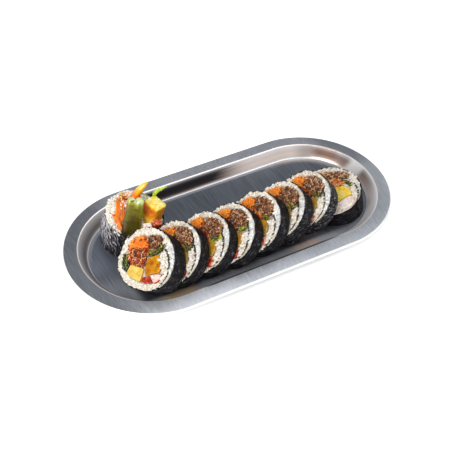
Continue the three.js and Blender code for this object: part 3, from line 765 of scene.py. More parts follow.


# Painted reflections: what the burnished wall mirrors, from its foot at 0 to its shoulder at 1: the warm room along
# the front, the dim one at the far left, and what stands round the other stretches, with a painted lit band and a
# painted dark patch on the far right.
WALL_RAMPS = {
    "warm": {0: "f4eeee", 0.1: "d8cfcc", 0.24: "b89a8c", 0.42: "a58c80", 0.55: "8a7672", 0.7: "98908f",
             0.88: "c4c2c6", 0.96: "ffffff"},
    "dusky": {0: "f4eeee", 0.08: "b0a6a4", 0.16: "5e5656", 0.28: "302a2c", 0.5: "242024",
              0.64: "2c282c", 0.74: "545052", 0.84: "a8a4a6", 0.94: "ffffff"},
    "lit": {0: "ffffff", 0.15: "ece2de", 0.35: "ffeadb", 0.55: "f0e4e0", 0.8: "fff2ee", 0.95: "ffffff"},
    "left_end": {0: "ffffff", 0.14: "a09a9a", 0.3: "847c7a", 0.5: "a4a0a2", 0.9: "dcd8d8"},
    "russet": {0: "ffffff", 0.1: "968a86", 0.22: "58463f", 0.45: "382b27", 0.7: "40332e",
               0.88: "5c4e48", 0.97: "ffffff"},
    "near_left": {0.1: "e8e2e2", 0.9: "f4f2f4"},
}


class Steel:
    """Steel brushed across floor and rim, and burnished along its wall.

    The tray's marks say how far up the wall a point lies, from 0 at its foot to 1 at its shoulder, and how far
    round the tray. Masks on them and on the place along X and Y, in metres, say where each tone lies. Most of these
    tones are painted light: painted reflections, painted highlights and painted shade."""

    def __init__(self, look):
        finish = Finish("brushed_steel")
        self.finish, self.look = finish, look
        self.up, self.around = finish.mark("slope"), finish.mark("around")
        self.x, self.y = finish.axis("X"), finish.axis("Y")
        self.hair = finish.noise(where=finish.stretched((2600, 45, 2600)))
        self.streak = finish.noise(where=finish.stretched((1500, 30, 1500)))
        self.grain = (self.hair * 0.55 + self.streak * 0.25 + finish.noise(0.05) * 0.25).above(0.3, 0.78)
        lines = finish.node("ShaderNodeCombineXYZ", {}, {"X": self.around * 14, "Y": self.up * 9})
        self.drawn = finish.noise(where=lines)
        # Painted reflection: the floor in front of the row and beside the first slice is painted paler and warmer.
        self.front = self.y.below(-0.0455, -0.0405) * (1 - self.x.above(0.05, 0.085) * 0.65)
        self.beside = self.x.below(-0.103, -0.092) * self.y.below(-0.03, 0.004)
        self.near = (self.front + self.beside).above(0.0, 1.0) * self.up.below(-0.04, 0.0)
        self.on_wall = self.up.between((-0.06, 0.0), (1.02, 1.1))
        # A painted dark reflection on the far right of the wall, which also dims the key light's highlight there.
        self.russet = self.around.below(-0.018, 0.018) * self.around.above(-0.052, -0.03)
        self.russet = self.russet * self.y.above(0.0, 0.01) * self.x.above(0.0, 0.01)
        # Painted shade on the near shoulder and wall in front of the middle of the row.
        self.near_painted_shade = self.y.below(-0.04, -0.03) * self.x.between((-0.056, -0.048), (0.05, 0.07))

    def brushed(self, dark, light):
        """A brushed tone between two colours."""
        return self.finish.mix(self.grain, dark, light)

    def laid_over(self, colour, *layers):
        """The colour with others laid over it in turn, each with its mask."""
        for mask, other in layers:
            colour = self.finish.mix(mask, colour, other)
        return colour

    def rim(self):
        """Painted reflections: bright at the left end, dull along the back, and greyer at both right corners."""
        x, y = self.x, self.y
        dull = (x - y.above(0.0, 0.04) * 0.022).below(-0.124, -0.092)
        front_right = y.below(-0.045, 0.0) * x.above(-0.01, 0.05)
        front_left = y.below(-0.05, -0.035) * x.between((-0.107, -0.095), (-0.05, -0.01))
        far_right = y.above(0.0, 0.02) * x.above(0.096, 0.12)
        return self.laid_over(
            self.brushed("999da5", "ced1d6"),
            (dull, self.brushed("70757d", "969aa0")),
            (front_right * 0.75, self.brushed("7f838a", "aeb1b7")),
            (front_left * 0.65, self.brushed("c2c5cc", "e8eaee")),
            (far_right * 0.7, self.brushed("6a6f77", "92969c")),
        )

    def floor(self):
        """Painted reflections: dark behind the row, and pale where it mirrors the light in front, at the left and
        under the far wall.
        """
        x, y, up = self.x, self.y, self.up
        # Painted reflections: a paler floor at the left end, and warm patches in front of the row.
        left = x.below(-0.1, -0.086) * y.above(-0.012, 0.006)
        glow = x.between((-0.09, -0.078), (-0.062, -0.052))
        warmth = x.between((0.02, 0.04), (0.046, 0.058))
        before = self.laid_over(
            self.brushed("7c808a", "a4a7ae"),
            (warmth * 0.85, self.brushed("b09488", "dcc8be")),
            (glow, "b8a284"),
        )
        # A painted highlight along the far wall's foot, and a painted sheen on the floor beside it at the right.
        foot = up.between((-0.5, -0.3), (-0.05, 0.0)) * y.above(0.0, 0.03)
        sheen = up.between((-1.0, -0.25), (-0.05, 0.0)) * y.above(0.01, 0.03) * x.above(0.05, 0.08)
        return self.laid_over(
            self.brushed((*self.look.dark_steel, 1), (*self.look.light_steel, 1)),
            (left * 0.8, self.brushed("828a98", "b0b6c2")),
            (self.near, before),
            (foot * 0.75, "d2cfd2"),
            (sheen * 0.6, "dcd2cc"),
        )

    def wall(self):
        """Painted reflections: bands that the wall mirrors, waved a little by its drawing lines, with a painted lit
        band, painted dark patches at the far right and a painted glint.
        """
        x, y, around = self.x, self.y, self.around
        stray = self.drawn - 0.5
        wave = self.up + stray * 0.16
        bands = {name: self.finish.ramp(wave, stops) for name, stops in WALL_RAMPS.items()}
        lit = y.above(0.01, 0.03) * (x + stray * 0.03).above(0.012, 0.05) * x.below(0.097, 0.112)
        # A painted dark patch in the far right corner, and a painted glint beside it.
        corner = y.above(0.01, 0.02) * x.between((0.1, 0.112), (0.116, 0.126))
        glint = x.above(0.113, 0.119) * y.between((-0.002, 0.004), (0.011, 0.018))
        return self.laid_over(
            bands["warm"],
            ((around + stray * 0.03).above(0.05, 0.1), bands["dusky"]),
            (lit, bands["lit"]),
            (corner * 0.6, "50443f"),
            (x.below(-0.09, -0.066), bands["left_end"]),
            (self.russet, bands["russet"]),
            (glint * 0.85, "ffffff"),
            (around.below(-0.13, -0.07), bands["near_left"]),
        )

    def material(self):
        up, on_wall, near_painted_shade = self.up, self.on_wall, self.near_painted_shade
        # Painted light on the rim's edges: a painted highlight along the shoulder, painted shade on the near shoulder
        # and wall in front of the middle of the row, and the hem painted near white as a painted reflection of the
        # pale floor.
        shoulder = up.between((0.93, 0.97), (1.02, 1.07))
        hem = up.above(2.4, 2.46)
        colour = self.laid_over(
            self.floor(),
            (up.above(0.9, 1.0), self.rim()),
            (on_wall, self.wall()),
            (shoulder, self.finish.mix(near_painted_shade, "fff0ec", "1a191d")),
            (near_painted_shade * on_wall, "222126"),
            (hem, "fbfaf8"),
        )
        metal = 0.94 - on_wall * (0.5 - self.russet * 0.42) - up.above(1.02, 1.1) * 0.3
        rough_steel = self.look.steel_roughness - 0.09 + self.hair * 0.12 + self.streak * 0.06
        relief = (self.hair * 0.6 + self.streak * 0.4) * (1 - on_wall) + self.drawn * on_wall
        return self.finish.surface(
            Base_Color=colour,
            Metallic=metal - self.near * 0.6 - hem * 0.4 - near_painted_shade * on_wall * 0.3,
            Roughness=rough_steel * (1 - on_wall * 0.3),
            Normal=self.finish.bump(relief, 0.00006, 0.5),
        )


def nori_finish():
    """Moist roasted seaweed: near black, with fine creases, painted highlights as pale streaks along them, and a
    painted sheen where its gleam mark is set.
    """
    finish = Finish("roasted_seaweed")
    sheet = finish.node("ShaderNodeCombineXYZ", {}, {"X": finish.mark("along"), "Y": finish.mark("across")})

    def fibres(size, turn, detail, roughness, distortion):
        """Noise drawn out along the sheet, turned a little."""
        settings = {"Vector": sheet, "Scale": (*size, 1), "Rotation": (0, 0, turn)}
        where = finish.node("ShaderNodeMapping", {"vector_type": "TEXTURE"}, settings)
        return finish.noise(1.0, detail, roughness, where, distortion)

    crease = fibres((0.0045, 0.0008), 0.35, 3.0, 0.65, 0.8)
    glare_streak_noise = fibres((0.0009, 0.0055), -0.55, 2.0, 0.6, 0.5)
    grain = finish.noise(0.0009, 3.0, 0.6)
    blotch = finish.noise(0.006)
    gleam = finish.mark("gleam")
    # Painted highlights: pale streaks along the creases, and where the gleam mark is set, a painted grey sheen with
    # paler streaks of glare.
    shine = (crease * 0.65 + grain * 0.25 + blotch * 0.25).above(0.62, 0.7)
    pale = (glare_streak_noise + gleam * 0.17 - 0.12).above(0.5, 0.58) * gleam.above(0.0, 0.35)
    colour = finish.mix(shine, finish.ramp(grain, {0.3: "040204", 0.8: "0d090d"}), "66636b")
    colour = finish.mix(pale, finish.mix(gleam * 0.5, colour, "3c3a40"), "c6c3c8")
    return finish.surface(
        Base_Color=colour,
        Roughness=0.5 + blotch * 0.2 - shine * 0.15,
        Specular_IOR_Level=0.13,
        Normal=finish.bump(crease * 0.7 + grain * 0.4, 0.0008, 0.9),
    )


def rice_finish():
    """Cooked rice: ivory grains with a moist gleam, cooler outside the lap, and browner deep between them as painted
    shade.
    """
    finish = Finish("cooked_rice")
    mottle = finish.noise(0.0016)
    tone = finish.mark("tone") * 0.8 + mottle * 0.25
    warm = finish.ramp(tone, {0.06: "6f5f45", 0.26: "b8a98f", 0.5: "ddd3c3", 0.8: "f1ebdf"})
    fresh = finish.ramp(tone, {0.1: "6f7886", 0.4: "c2c6ca", 0.8: "eceded"})
    return finish.surface(
        Base_Color=finish.mix(finish.mark("cool"), warm, fresh),
        Roughness=0.36 + mottle * 0.16,
        Subsurface_Weight=0.12,
        Subsurface_Radius=(0.0012, 0.0009, 0.0006),
        Subsurface_Scale=1.0,
        Coat_Weight=0.3,
        Coat_Roughness=0.14,
        Normal=finish.bump(finish.noise(0.0007), 0.00015, 0.6),
    )


def food_finish(name, stops, size=0.0015, mottling=0.5, gloss=0.4, depth=0.0003, flecks=None, skin=None, coat=0.25,
                melt=0.0):
    """A moist filling: a ramp of colours over its tone mark and a mottle, with flecks and a skin near its edge.

    Where the light goes a little way in, melt says how much."""
    finish = Finish(name)
    mottle = finish.noise(size, 3.0, 0.6)
    fine = finish.noise(size * 0.35)
    value = finish.mark("tone") + (mottle - 0.5) * mottling + (fine - 0.5) * mottling * 0.5
    colour = finish.ramp(value, stops)
    if flecks:
        fleck_colour, fleck_size, low, high = flecks
        colour = finish.mix(finish.noise(fleck_size).above(low, high), colour, fleck_colour)
    if skin:
        skin_colour, low, high = skin
        ragged = finish.mark("skin") + (mottle - 0.5) * 0.25
        colour = finish.mix(ragged.above(low, high), colour, skin_colour)
    if melt:
        finish.surface(Subsurface_Weight=melt, Subsurface_Radius=(0.003, 0.0018, 0.0008),
                       Subsurface_Scale=0.6 + 2.4 * melt)
    return finish.surface(
        Base_Color=colour,
        Roughness=gloss + (mottle - 0.5) * 0.2,
        Coat_Weight=coat,
        Coat_Roughness=0.15,
        Normal=finish.bump(mottle * 0.6 + fine * 0.4, depth, 0.8),
    )


# Each look's ramp runs from the deepest tone to the palest. Sizes and depths are in metres; flecks and skin give a
# colour, then for flecks their size, and the values between which they set in.
FOOD_LOOKS = {
    "carrot": {
        "stops": {0.05: "8a3206", 0.3: "dc5c02", 0.55: "f47604", 0.9: "ff9e28"},
        "coat": 0.12, "melt": 0.15, "flecks": ("c43c04", 0.0014, 0.68, 0.78),
    },
    "beef": {
        "stops": {0.05: "1e0c06", 0.25: "4c2612", 0.5: "804824", 0.72: "aa6c3e", 0.9: "cf9a68", 1: "ecccaa"},
        "size": 0.001, "mottling": 0.45, "gloss": 0.36, "depth": 0.0004, "coat": 0.16,
    },
    "shreds": {
        "stops": {0.05: "320c03", 0.25: "7c2408", 0.5: "b4440c", 0.7: "d86a18", 0.88: "ec9844", 0.99: "f8d49c"},
        "size": 0.0012, "mottling": 0.35, "coat": 0.1, "flecks": ("d2120a", 0.0018, 0.6, 0.66),
    },
    "greens": {
        "stops": {0.05: "161c04", 0.35: "4a4a06", 0.6: "7c7810", 0.85: "aeae20", 1: "d4dc4c"},
        "size": 0.0014, "mottling": 0.7, "coat": 0.1,
    },
    "spinach": {
        "stops": {0.05: "0a0f06", 0.4: "222f12", 0.65: "46581f", 0.85: "7c9430", 1: "b8cc50"},
        "size": 0.0012, "mottling": 0.7, "gloss": 0.26, "coat": 0.45,
    },
    "radish": {
        "stops": {0.02: "7c4400", 0.2: "aa6400", 0.42: "c88200", 0.65: "e2a80c", 0.85: "f6d03a", 1: "fde67c"},
        "size": 0.003, "mottling": 0.7, "gloss": 0.24, "coat": 0.22, "melt": 0.25, "skin": ("94752c", 0.96, 1.06),
    },
    "egg": {
        "stops": {0.05: "c89a2c", 0.3: "e2bf54", 0.6: "efd678", 0.95: "faeaa6"},
        "size": 0.0018, "mottling": 0.6, "gloss": 0.42, "coat": 0.1, "skin": ("c08a2c", 0.93, 1.05),
    },
    "ham": {
        "stops": {0.05: "4c0a04", 0.35: "8c1204", 0.6: "b02e0c", 0.76: "cc5c34", 0.95: "eeb096"},
        "size": 0.002, "mottling": 1.3, "gloss": 0.3,
    },
    "crab": {
        "stops": {0.05: "c08068", 0.35: "d8ac98", 0.7: "ecd6ca", 0.98: "faf2ec"},
        "size": 0.0018, "mottling": 0.8, "gloss": 0.38, "coat": 0.15, "skin": ("c0200f", 0.87, 0.97),
        "flecks": ("cc2410", 0.0024, 0.66, 0.69),
    },
    "cucumber": {
        "stops": {0.04: "2c2810", 0.2: "4e4610", 0.4: "706a14", 0.6: "8e881c", 0.8: "a9b048", 0.98: "d2dca4"},
        "size": 0.004, "mottling": 0.32, "gloss": 0.3, "coat": 0.35, "melt": 0.1,
        "flecks": ("6a2c0c", 0.0019, 0.6, 0.66),
    },
    "stick": {
        "stops": {0.05: "d04404", 0.3: "f06c08", 0.5: "fa9410", 0.75: "ffb818", 0.95: "ffe06c"},
        "size": 0.004, "mottling": 0.3, "gloss": 0.26, "coat": 0.3, "melt": 0.1,
    },
    "omelette": {
        "stops": {0.05: "b04600", 0.22: "e07600", 0.42: "f69e06", 0.6: "f9c022", 0.8: "fedc58", 0.98: "fff6bc"},
        "size": 0.0024, "mottling": 0.6, "gloss": 0.44, "depth": 0.0009, "coat": 0.1, "melt": 0.6,
    },
    "leaf": {
        "stops": {0.05: "2c4406", 0.35: "6c9406", 0.65: "b0d00c", 0.98: "e6f25c"},
        "size": 0.0016, "mottling": 0.4, "coat": 0.15,
    },
    "specks": {
        "stops": {0.05: "120c0a", 0.4: "2c1a12", 0.7: "6b3c1c", 0.95: "a8702c"},
        "size": 0.001, "mottling": 0.2,
    },
}


def food(name):
    """The finish of that name, made once."""
    full_name = f"moist_{name}"
    return bpy.data.materials.get(full_name) or food_finish(full_name, **FOOD_LOOKS[name])


# ---- Tray ----


def rounded_corner(before, corner, after, radius, steps=7):
    """The arc that takes a bent line round its corner."""
    into, out = corner - before, after - corner
    into, out = into / np.linalg.norm(into), out / np.linalg.norm(out)
    bend = math.acos(np.clip(into @ out, -1, 1))
    side = np.sign(into[0] * out[1] - into[1] * out[0])
    start = corner - into * radius * math.tan(bend / 2)
    centre = start + np.array([-into[1], into[0]]) * side * radius
    x, y = start - centre
    angles = side * bend * np.arange(steps + 1) / steps
    return [centre + [x * math.cos(a) - y * math.sin(a), x * math.sin(a) + y * math.cos(a)] for a in angles]


def tray_section():
    """The pressed sheet from near the middle out to the hem and back underneath, as radius and height."""
    t = TRAY
    half, low, high = t["width"] / 2, t["sheet"] / 2, t["depth"] + t["sheet"] / 2
    line = [np.array([reach, low]) for reach in FLOOR_RINGS]
    foot = np.array([half - t["rim"] - t["wall"], low])
    shoulder = np.array([half - t["rim"], high])
    edge = np.array([half - t["sheet"] / 2, high - t["fall"]])
    hem = edge - [0, t["hem"]]
    line += rounded_corner(line[0], foot, shoulder, t["foot"])
    line += rounded_corner(foot, shoulder, edge, t["shoulder"])
    line += rounded_corner(shoulder, edge, hem, t["hem_bend"], 5)
    line = np.array([*line, hem])
    along = np.gradient(line, axis=0)
    along[1:-1] = line[2:] - line[:-2]
    along /= np.linalg.norm(along, axis=1)[:, None]
    across = np.stack([-along[:, 1], along[:, 0]], -1) * t["sheet"] / 2
    return np.concatenate([line + across, (line - across)[::-1]])


def make_tray():
    """The tray's section led round its obround, with marks for how far round and how far up the wall it is."""
    section = tray_section()
    radius = TRAY["width"] / 2
    pull = TRAY["length"] / 2 - radius
    ends = np.linspace(-90, 90, 61)
    straight = np.linspace(-1, 1, 9)[1:-1] * pull
    stations = [(pull, a) for a in ends] + [(x, 90) for x in -straight]
    stations += [(-pull, a + 180) for a in ends] + [(x, 270) for x in straight]
    rows, around = [], []
    for x, degrees in stations:
        a = math.radians(degrees)
        rows.append(np.column_stack([x + section[:, 0] * math.cos(a), section[:, 0] * math.sin(a), section[:, 1]]))
        around.append((a if degrees <= 90 else a - math.pi) * radius - x)
    foot = radius - TRAY["rim"] - TRAY["wall"]
    slope = (np.tile(section[:, 0], len(stations)) - foot) / TRAY["wall"]
    count, columns = len(stations), len(section)
    first = np.arange(count) * columns
    heap = Heap(("around", "slope"))
    heap.add(
        np.concatenate(rows),
        grid_faces(count + 1, columns, closed=False) % (count * columns),
        first[None],
        (first + columns - 1)[None, ::-1],
        around=np.repeat(around, columns) * MM,
        slope=slope,
    )
    return heap


class PLATE_OT_tray(Operator):
    """Make the pressed tray with its fine fillets and turned-down hem"""

    bl_idname = "plate.tray"
    bl_label = "Tray"

    def execute(self, context):
        look = context.scene.plate_look
        tray = make_tray().piece("steel_tray", Steel(look).material(), "steel", ["tray"], lift=False)
        tray.data.set_sharp_from_angle(angle=math.radians(50))
        return {"FINISHED"}


# ---- Seaweed ----


def sheet_path(radius, thickness, lap, steps=230):
    """Angles and radii of the sheet's middle, from its inner end round to its outer one."""
    layer = thickness + 0.05
    wrap = radius - 0.1 - thickness / 2
    start, end, start_radius = lap
    start_radius *= radius / ROLL_RADIUS
    inside = np.linspace(start, end, 40)
    inner = start_radius + (wrap - layer - start_radius) * (start - inside) / (start - end)
    outside = np.linspace(end, end - 358, steps)[1:]
    outer = wrap + layer * (np.clip((end - outside) / 12, 0, 1) - 1)
    return np.concatenate([inside, outside]), np.concatenate([inner, outer])


def gleam_on(cut, points):
    """How much painted sheen the seaweed has, as pale streaks: on the left of the end piece, and a few on two slices.
    """
    if cut is not END_CUT:
        return SLICE_GLEAM.get(cut.number, 0)
    return np.exp(-((degrees_from(170, points) / 42) ** 2)) * np.clip(0.45 + points[:, 2] / 30, 0, 1)


def seaweed(cut, look, radius, back, front, crease, seed, rows=14, edge=0.8):
    """A sheet of seaweed wound round the roll, with uneven edges and creases, as a closed body."""
    thickness = look.sheet_thickness / MM
    degrees, radii = sheet_path(radius, thickness, cut.lap)
    turn = np.radians(degrees)
    length = np.concatenate([[0], np.cumsum(np.abs(np.diff(turn)) * radii[1:])])
    columns = len(turn)
    ring = on_face(radii * np.cos(turn), radii * np.sin(turn))
    low, high = back(ring), front(ring)
    ragged = rough(on_face(length, np.full(columns, 3.0)), 3.0, seed)
    fine = rough(on_face(length, np.full(columns, 9.0)), 0.9, seed + 1)
    dip = np.where(degrees > cut.lap[1] - 6, 0.1 + 0.9 * fine, edge + 0.5 * ragged + 0.4 * fine)
    outer_side, inner_side = [], []
    for share in np.linspace(0, 1, rows):
        level = low + (high - dip - low) * share
        flat = on_face(length, level * 0.4)
        wave = rough(flat, 5.0, seed + 2) * 0.6 + rough(flat * [1, 3.0, 1], 1.6, seed + 3) * 0.4
        lift = (wave - 0.6) * crease * np.clip(length / 8, 0, 1)
        for side, rows_made in ((0.5, outer_side), (-0.5, inner_side)):
            reach = radii + side * thickness + lift
            rows_made.append(np.column_stack([reach * np.cos(turn), reach * np.sin(turn), level]))
    points = np.concatenate(outer_side + inner_side)
    heap = Heap(("along", "across", "gleam"))
    heap.add(
        cut.place(points),
        *sheet_faces(rows, columns),
        along=np.tile(length, 2 * rows) * MM,
        across=points[:, 2] * MM,
        gleam=gleam_on(cut, points),
    )
    return heap


class PLATE_OT_seaweed(Operator):
    """Wrap each slice and the end piece in its sheet of seaweed"""

    bl_idname = "plate.seaweed"
    bl_label = "Seaweed"

    def execute(self, context):
        look = context.scene.plate_look
        finish = nori_finish()
        for cut in CUTS:
            heap = seaweed(cut, look, ROLL_RADIUS, level_face(-cut.thick), level_face(0), 0.16, cut.number * 7)
            heap.piece(f"{cut.name}_seaweed", finish, "nori", [f"{cut.name}_nori"])
        top = level_face(END["height"] + 0.4)
        heap = seaweed(END_CUT, look, END["radius"], END_CUT.base, top, 0.5, 99, rows=26, edge=0.3)
        heap.piece("end_seaweed", finish, "nori", ["end_nori"])
        return {"FINISHED"}


# ---- Rice ----


def rice_core(cut, table, radius, front, back, well=2.4, columns=120):
    """The rice under the grains: a rough drum whose two faces sink away round the fillings and the lap."""
    angle = np.arange(columns) * 2 * np.pi / columns
    heading = on_face(np.cos(angle), np.sin(angle))
    grids = []
    for face, rings, inward in ((front, 40, -1), (back, 20, 1)):
        reach = np.linspace(0.02, 1, rings) ** 0.9 * radius
        flat = (reach[:, None, None] * heading).reshape(-1, 3)
        nearest = np.min([edge_distance(filling, flat) for filling in table.values()], axis=0)
        nearest = np.minimum(nearest, np.abs(lap_distance(flat, cut.lap)) + 0.1)
        sunk = np.clip((0.5 - nearest) / 0.8, 0, 1) * (reach.repeat(columns) < radius - 1.5)
        level = face(flat) + inward * (well * sunk + 0.25 + 0.25 * rough(flat, 2.2, cut.number))
        grids.append(np.column_stack([flat[:, :2], level]).reshape(rings, columns, 3))
    tips = [[0, 0, grid[0, :, 2].mean()] for grid in grids]
    points, quads, caps = drum(np.concatenate([grids[0], grids[1][::-1]]), *tips)
    return cut.place(points), quads, caps


def grains_on(places, tops, chance, look, lie=0.42, rim=RICE_RADIUS, cap=0.45, spill=1.0):
    """Cooked grains lying near a face at those heights, cut off a little above it and held in by the sheet."""
    count = len(places)
    length = look.grain_length / MM * chance.uniform(0.72, 1.15, count)
    width = look.grain_width / MM * chance.uniform(0.95, 1.25, count)
    scales = np.column_stack([length, width, width * chance.uniform(0.8, 1.0, count)])
    heading = chance.uniform(0, 2 * np.pi, count)
    rotations = turns(heading, chance.normal(0, lie, count), chance.uniform(*ANY_TURN, count))
    centres = places.copy()
    centres[:, 2] = tops - width * 0.5 + chance.normal(0, 0.22, count)
    points, triangles = swarm(oval_grain(), centres, rotations, scales)
    bent = (points[..., 0] - centres[:, None, 0]) ** 2 * chance.uniform(-0.05, 0.05, count)[:, None]
    points[..., 1] += bent
    limit = (tops + cap + chance.normal(0, 0.12, count))[:, None]
    points[..., 2] = np.minimum(points[..., 2], limit)
    over = np.clip((points[..., 2] - tops[:, None] + 1.2) / 0.8, 0, 1)
    reach = np.hypot(points[..., 0], points[..., 1])
    points[..., :2] *= np.minimum(1, (rim + over * spill) / np.maximum(reach, 1e-6))[..., None]
    return points, triangles


class PLATE_OT_rice(Operator):
    """Fill each sheet with rice: a core with channels for the fillings, under loose grains"""

    bl_idname = "plate.rice"
    bl_label = "Rice"

    def execute(self, context):
        look = context.scene.plate_look
        finish = rice_finish()
        for cut in CUTS:
            chance = dice(RICE_SEED + cut.number)
            heap = Heap(("tone", "cool"))
            core = rice_core(cut, cut.layout, RICE_RADIUS - 0.5, level_face(0), level_face(-cut.thick))
            # The core's low tone is painted shade deep between the grains.
            heap.add(*core, tone=0.34, cool=0.1)
            for side, spill in ((FRONT, 0.55), (BACK, 0.0)):
                places = spread(lambda p: rice_room(p, cut.layout) + 0.55, 1.62, chance)
                places = places[np.abs(lap_distance(places, cut.lap)) > 1.2]
                outside = lap_distance(places, cut.lap) > 0
                tops = 0.35 + 0.25 * rough(places, 4.0, cut.number) + 0.1 * outside
                points, triangles = grains_on(places, tops, chance, look, spill=spill)
                tone = np.clip(chance.normal(0.62, 0.16, len(places)), 0.2, 1.0)
                heap.add_copies(cut, cut.turned(points, side), triangles, tone=tone, cool=0.75 * outside)
            heap.piece(f"{cut.name}_rice_grains", finish, "rice", [f"{cut.name}_rice"])
        self.make_end(look, finish)
        return {"FINISHED"}

    @staticmethod
    def make_end(look, finish):
        """Two layers of grains, thinned out where the rice has sunk."""
        chance = dice(RICE_SEED + END_NUMBER)
        heap = Heap(("tone", "cool"))
        core = rice_core(END_CUT, END_PLACES, 22.2, end_top, lambda p: END_CUT.base(p) + 0.3)
        local = (core[0] - END_CUT.middle) @ END_CUT.turn
        # The core's low tone is painted shade between the grains, and the hollow is painted darker still as painted
        # shade.
        heap.add(*core, tone=0.4 - 0.32 * end_hollow(local), cool=0.0)
        for layer in (0, 1):
            places = spread(lambda p: rice_room(p, END_PLACES, 22.3) + 0.5, 1.5, chance)
            places = places[chance.uniform(0, 1, len(places)) > 0.72 * end_hollow(places)]
            tops = end_top(places) + 0.5 + layer * 0.9 + 0.9 * rough(places, 4.0, 41 + layer)
            points, triangles = grains_on(places, tops, chance, look, lie=0.45, rim=22.7, cap=0.9)
            # Grains in the hollow are painted darker, as painted shade.
            tone = np.clip(chance.normal(0.78, 0.14, len(places)) - 0.3 * end_hollow(places), 0.15, 1.0)
            heap.add_copies(END_CUT, points, triangles, tone=tone, cool=0.0)
        heap.piece("end_rice_grains", finish, "rice", ["end_rice"])


def end_hollow(places):
    """From 0 to 1 on the near left of the end piece, where the rice has sunk and little of it is left."""
    out = np.clip((np.hypot(places[:, 0], places[:, 1]) - 6) / 7, 0, 1)
    return np.exp(-((degrees_from(-128, places) / 30) ** 2)) * out


def end_top(places):
    """How high the rice of the end piece reaches: heaped up on the far left, and sunk on the near left."""
    reach = np.hypot(places[:, 0], places[:, 1])
    side = np.cos(np.arctan2(places[:, 1], places[:, 0]) - math.radians(112)) * np.minimum(1, reach / 12)
    slumped = 0.25 * np.clip(reach - 19, 0, 5) ** 1.3
    return END["height"] + 1.0 + 4.4 * side - slumped - 2.6 * end_hollow(places)


# ---- Fillings ----


def scattered(shapes, reach, spacing, chance, lengths, widths, top):
    """Crumbs of mixed shapes over a face, as copies and triangles for each shape, with a random tone for each copy."""
    places = spread(reach, spacing, chance)
    which = chance.integers(0, len(shapes), len(places))
    for k, shape in enumerate(shapes):
        centres = places[which == k]
        count = len(centres)
        if not count:
            continue
        scales = np.column_stack([chance.uniform(*size, count) for size in (lengths, widths, widths)])
        heading = chance.uniform(*ANY_TURN, count)
        rotations = turns(heading, chance.normal(0, 0.5, count), chance.uniform(*ANY_TURN, count))
        centres[:, 2] = top + chance.normal(0, 0.25, count)
        points, triangles = swarm(shape, centres, rotations, scales)
        points[..., 2] = np.minimum(points[..., 2], top + 2)
        yield points, triangles, chance.uniform(0, 1, count)


def soft_core(name, cut):
    """The body of a soft filling, a little inside its room."""
    outline = rounded(cut.layout[name], 0.5, 40)
    points, _, quads, caps = block(outline, 0.35 - cut.thick, PROUD[name] - 0.75, 1.0)
    points[:, 2] += 0.25 * rough(points, 1.8, cut.number)
    return cut.place(points), quads, caps


def firm_body(name, cut, relief=0.12):
    """A firm filling cut with the slice: crisp, with slight relief on both cut faces."""
    outline = rounded(cut.layout[name], GAP / 2, 64, 0.08 if name == "egg" else 0.14)
    points, near, quads, caps = block(outline, -cut.thick - 0.2, PROUD[name], 0.7, inner=7)
    seed = cut.number * 3
    wave = rough(points, 2.2, seed) + 0.6 * rough(points, 0.9, seed + 1)
    points[:, 2] += relief * wave * np.sign(points[:, 2] + cut.thick / 2)
    points[:, :2] += relief * 0.8 * rough(points + 50, 2.0, seed + 2)[:, None]
    return points, near, quads, caps


def add_sticks(heap, cut, name, chance, tone):
    """Cut sticks that run right through the slice, bundled side by side."""
    for x, y, _ in spread(within(cut, name, 0.55), 1.75, chance):
        tip = PROUD[name] + chance.uniform(-0.35, 0.75)
        tail = -cut.thick - chance.uniform(-0.3, 0.5)
        bend = chance.uniform(-0.5, 0.5, 2)
        path = [(x, y, tail), (x + bend[0], y + bend[1], (tip + tail) / 2), (x, y, tip - 0.4), (x, y, tip)]
        lean = (math.cos(chance.uniform(0, 3.1)), math.sin(chance.uniform(0, 3.1)), 0.1)
        radius = chance.uniform(0.75, 1.1) * 1.2
        heap.add_strand(cut, path, radius, 4, chance.uniform(0.6, 0.95), lean, 0.9, tone=chance.normal(tone, 0.16))


def add_shreds(heap, cut, reach, chance, top, length=(3.5, 7.5), thick=(0.32, 0.62), tones=None, spacing=1.7,
               lift=0.5):
    """Thin curly shreds lying in a tangle on a face."""
    for place in spread(reach, spacing, chance):
        half = chance.uniform(*length) / 2
        yaw, curl = chance.uniform(0, 2 * np.pi), chance.normal(0, 0.16)
        x = np.linspace(-half, half, 6)
        y = curl * (x**2 - half**2 / 3)
        z = top + chance.uniform(-0.3, lift) + 0.25 * np.sin(x + chance.uniform(0, 6))
        c, s = math.cos(yaw), math.sin(yaw)
        path = np.column_stack([place[0] + c * x - s * y, place[1] + s * x + c * y, z])
        path[:, 2] -= np.clip(reach(path), 0, 3) * 0.5
        taper = chance.uniform(*thick) * (1 - 0.45 * (x / half) ** 2)
        flat = chance.uniform(0.5, 0.9)
        tone = chance.choice(tones) if tones else chance.uniform(0, 1)
        heap.add_strand(cut, path, taper, 5, flat, (0.1, 0.2, 1), tone=tone + chance.normal(0, 0.06))


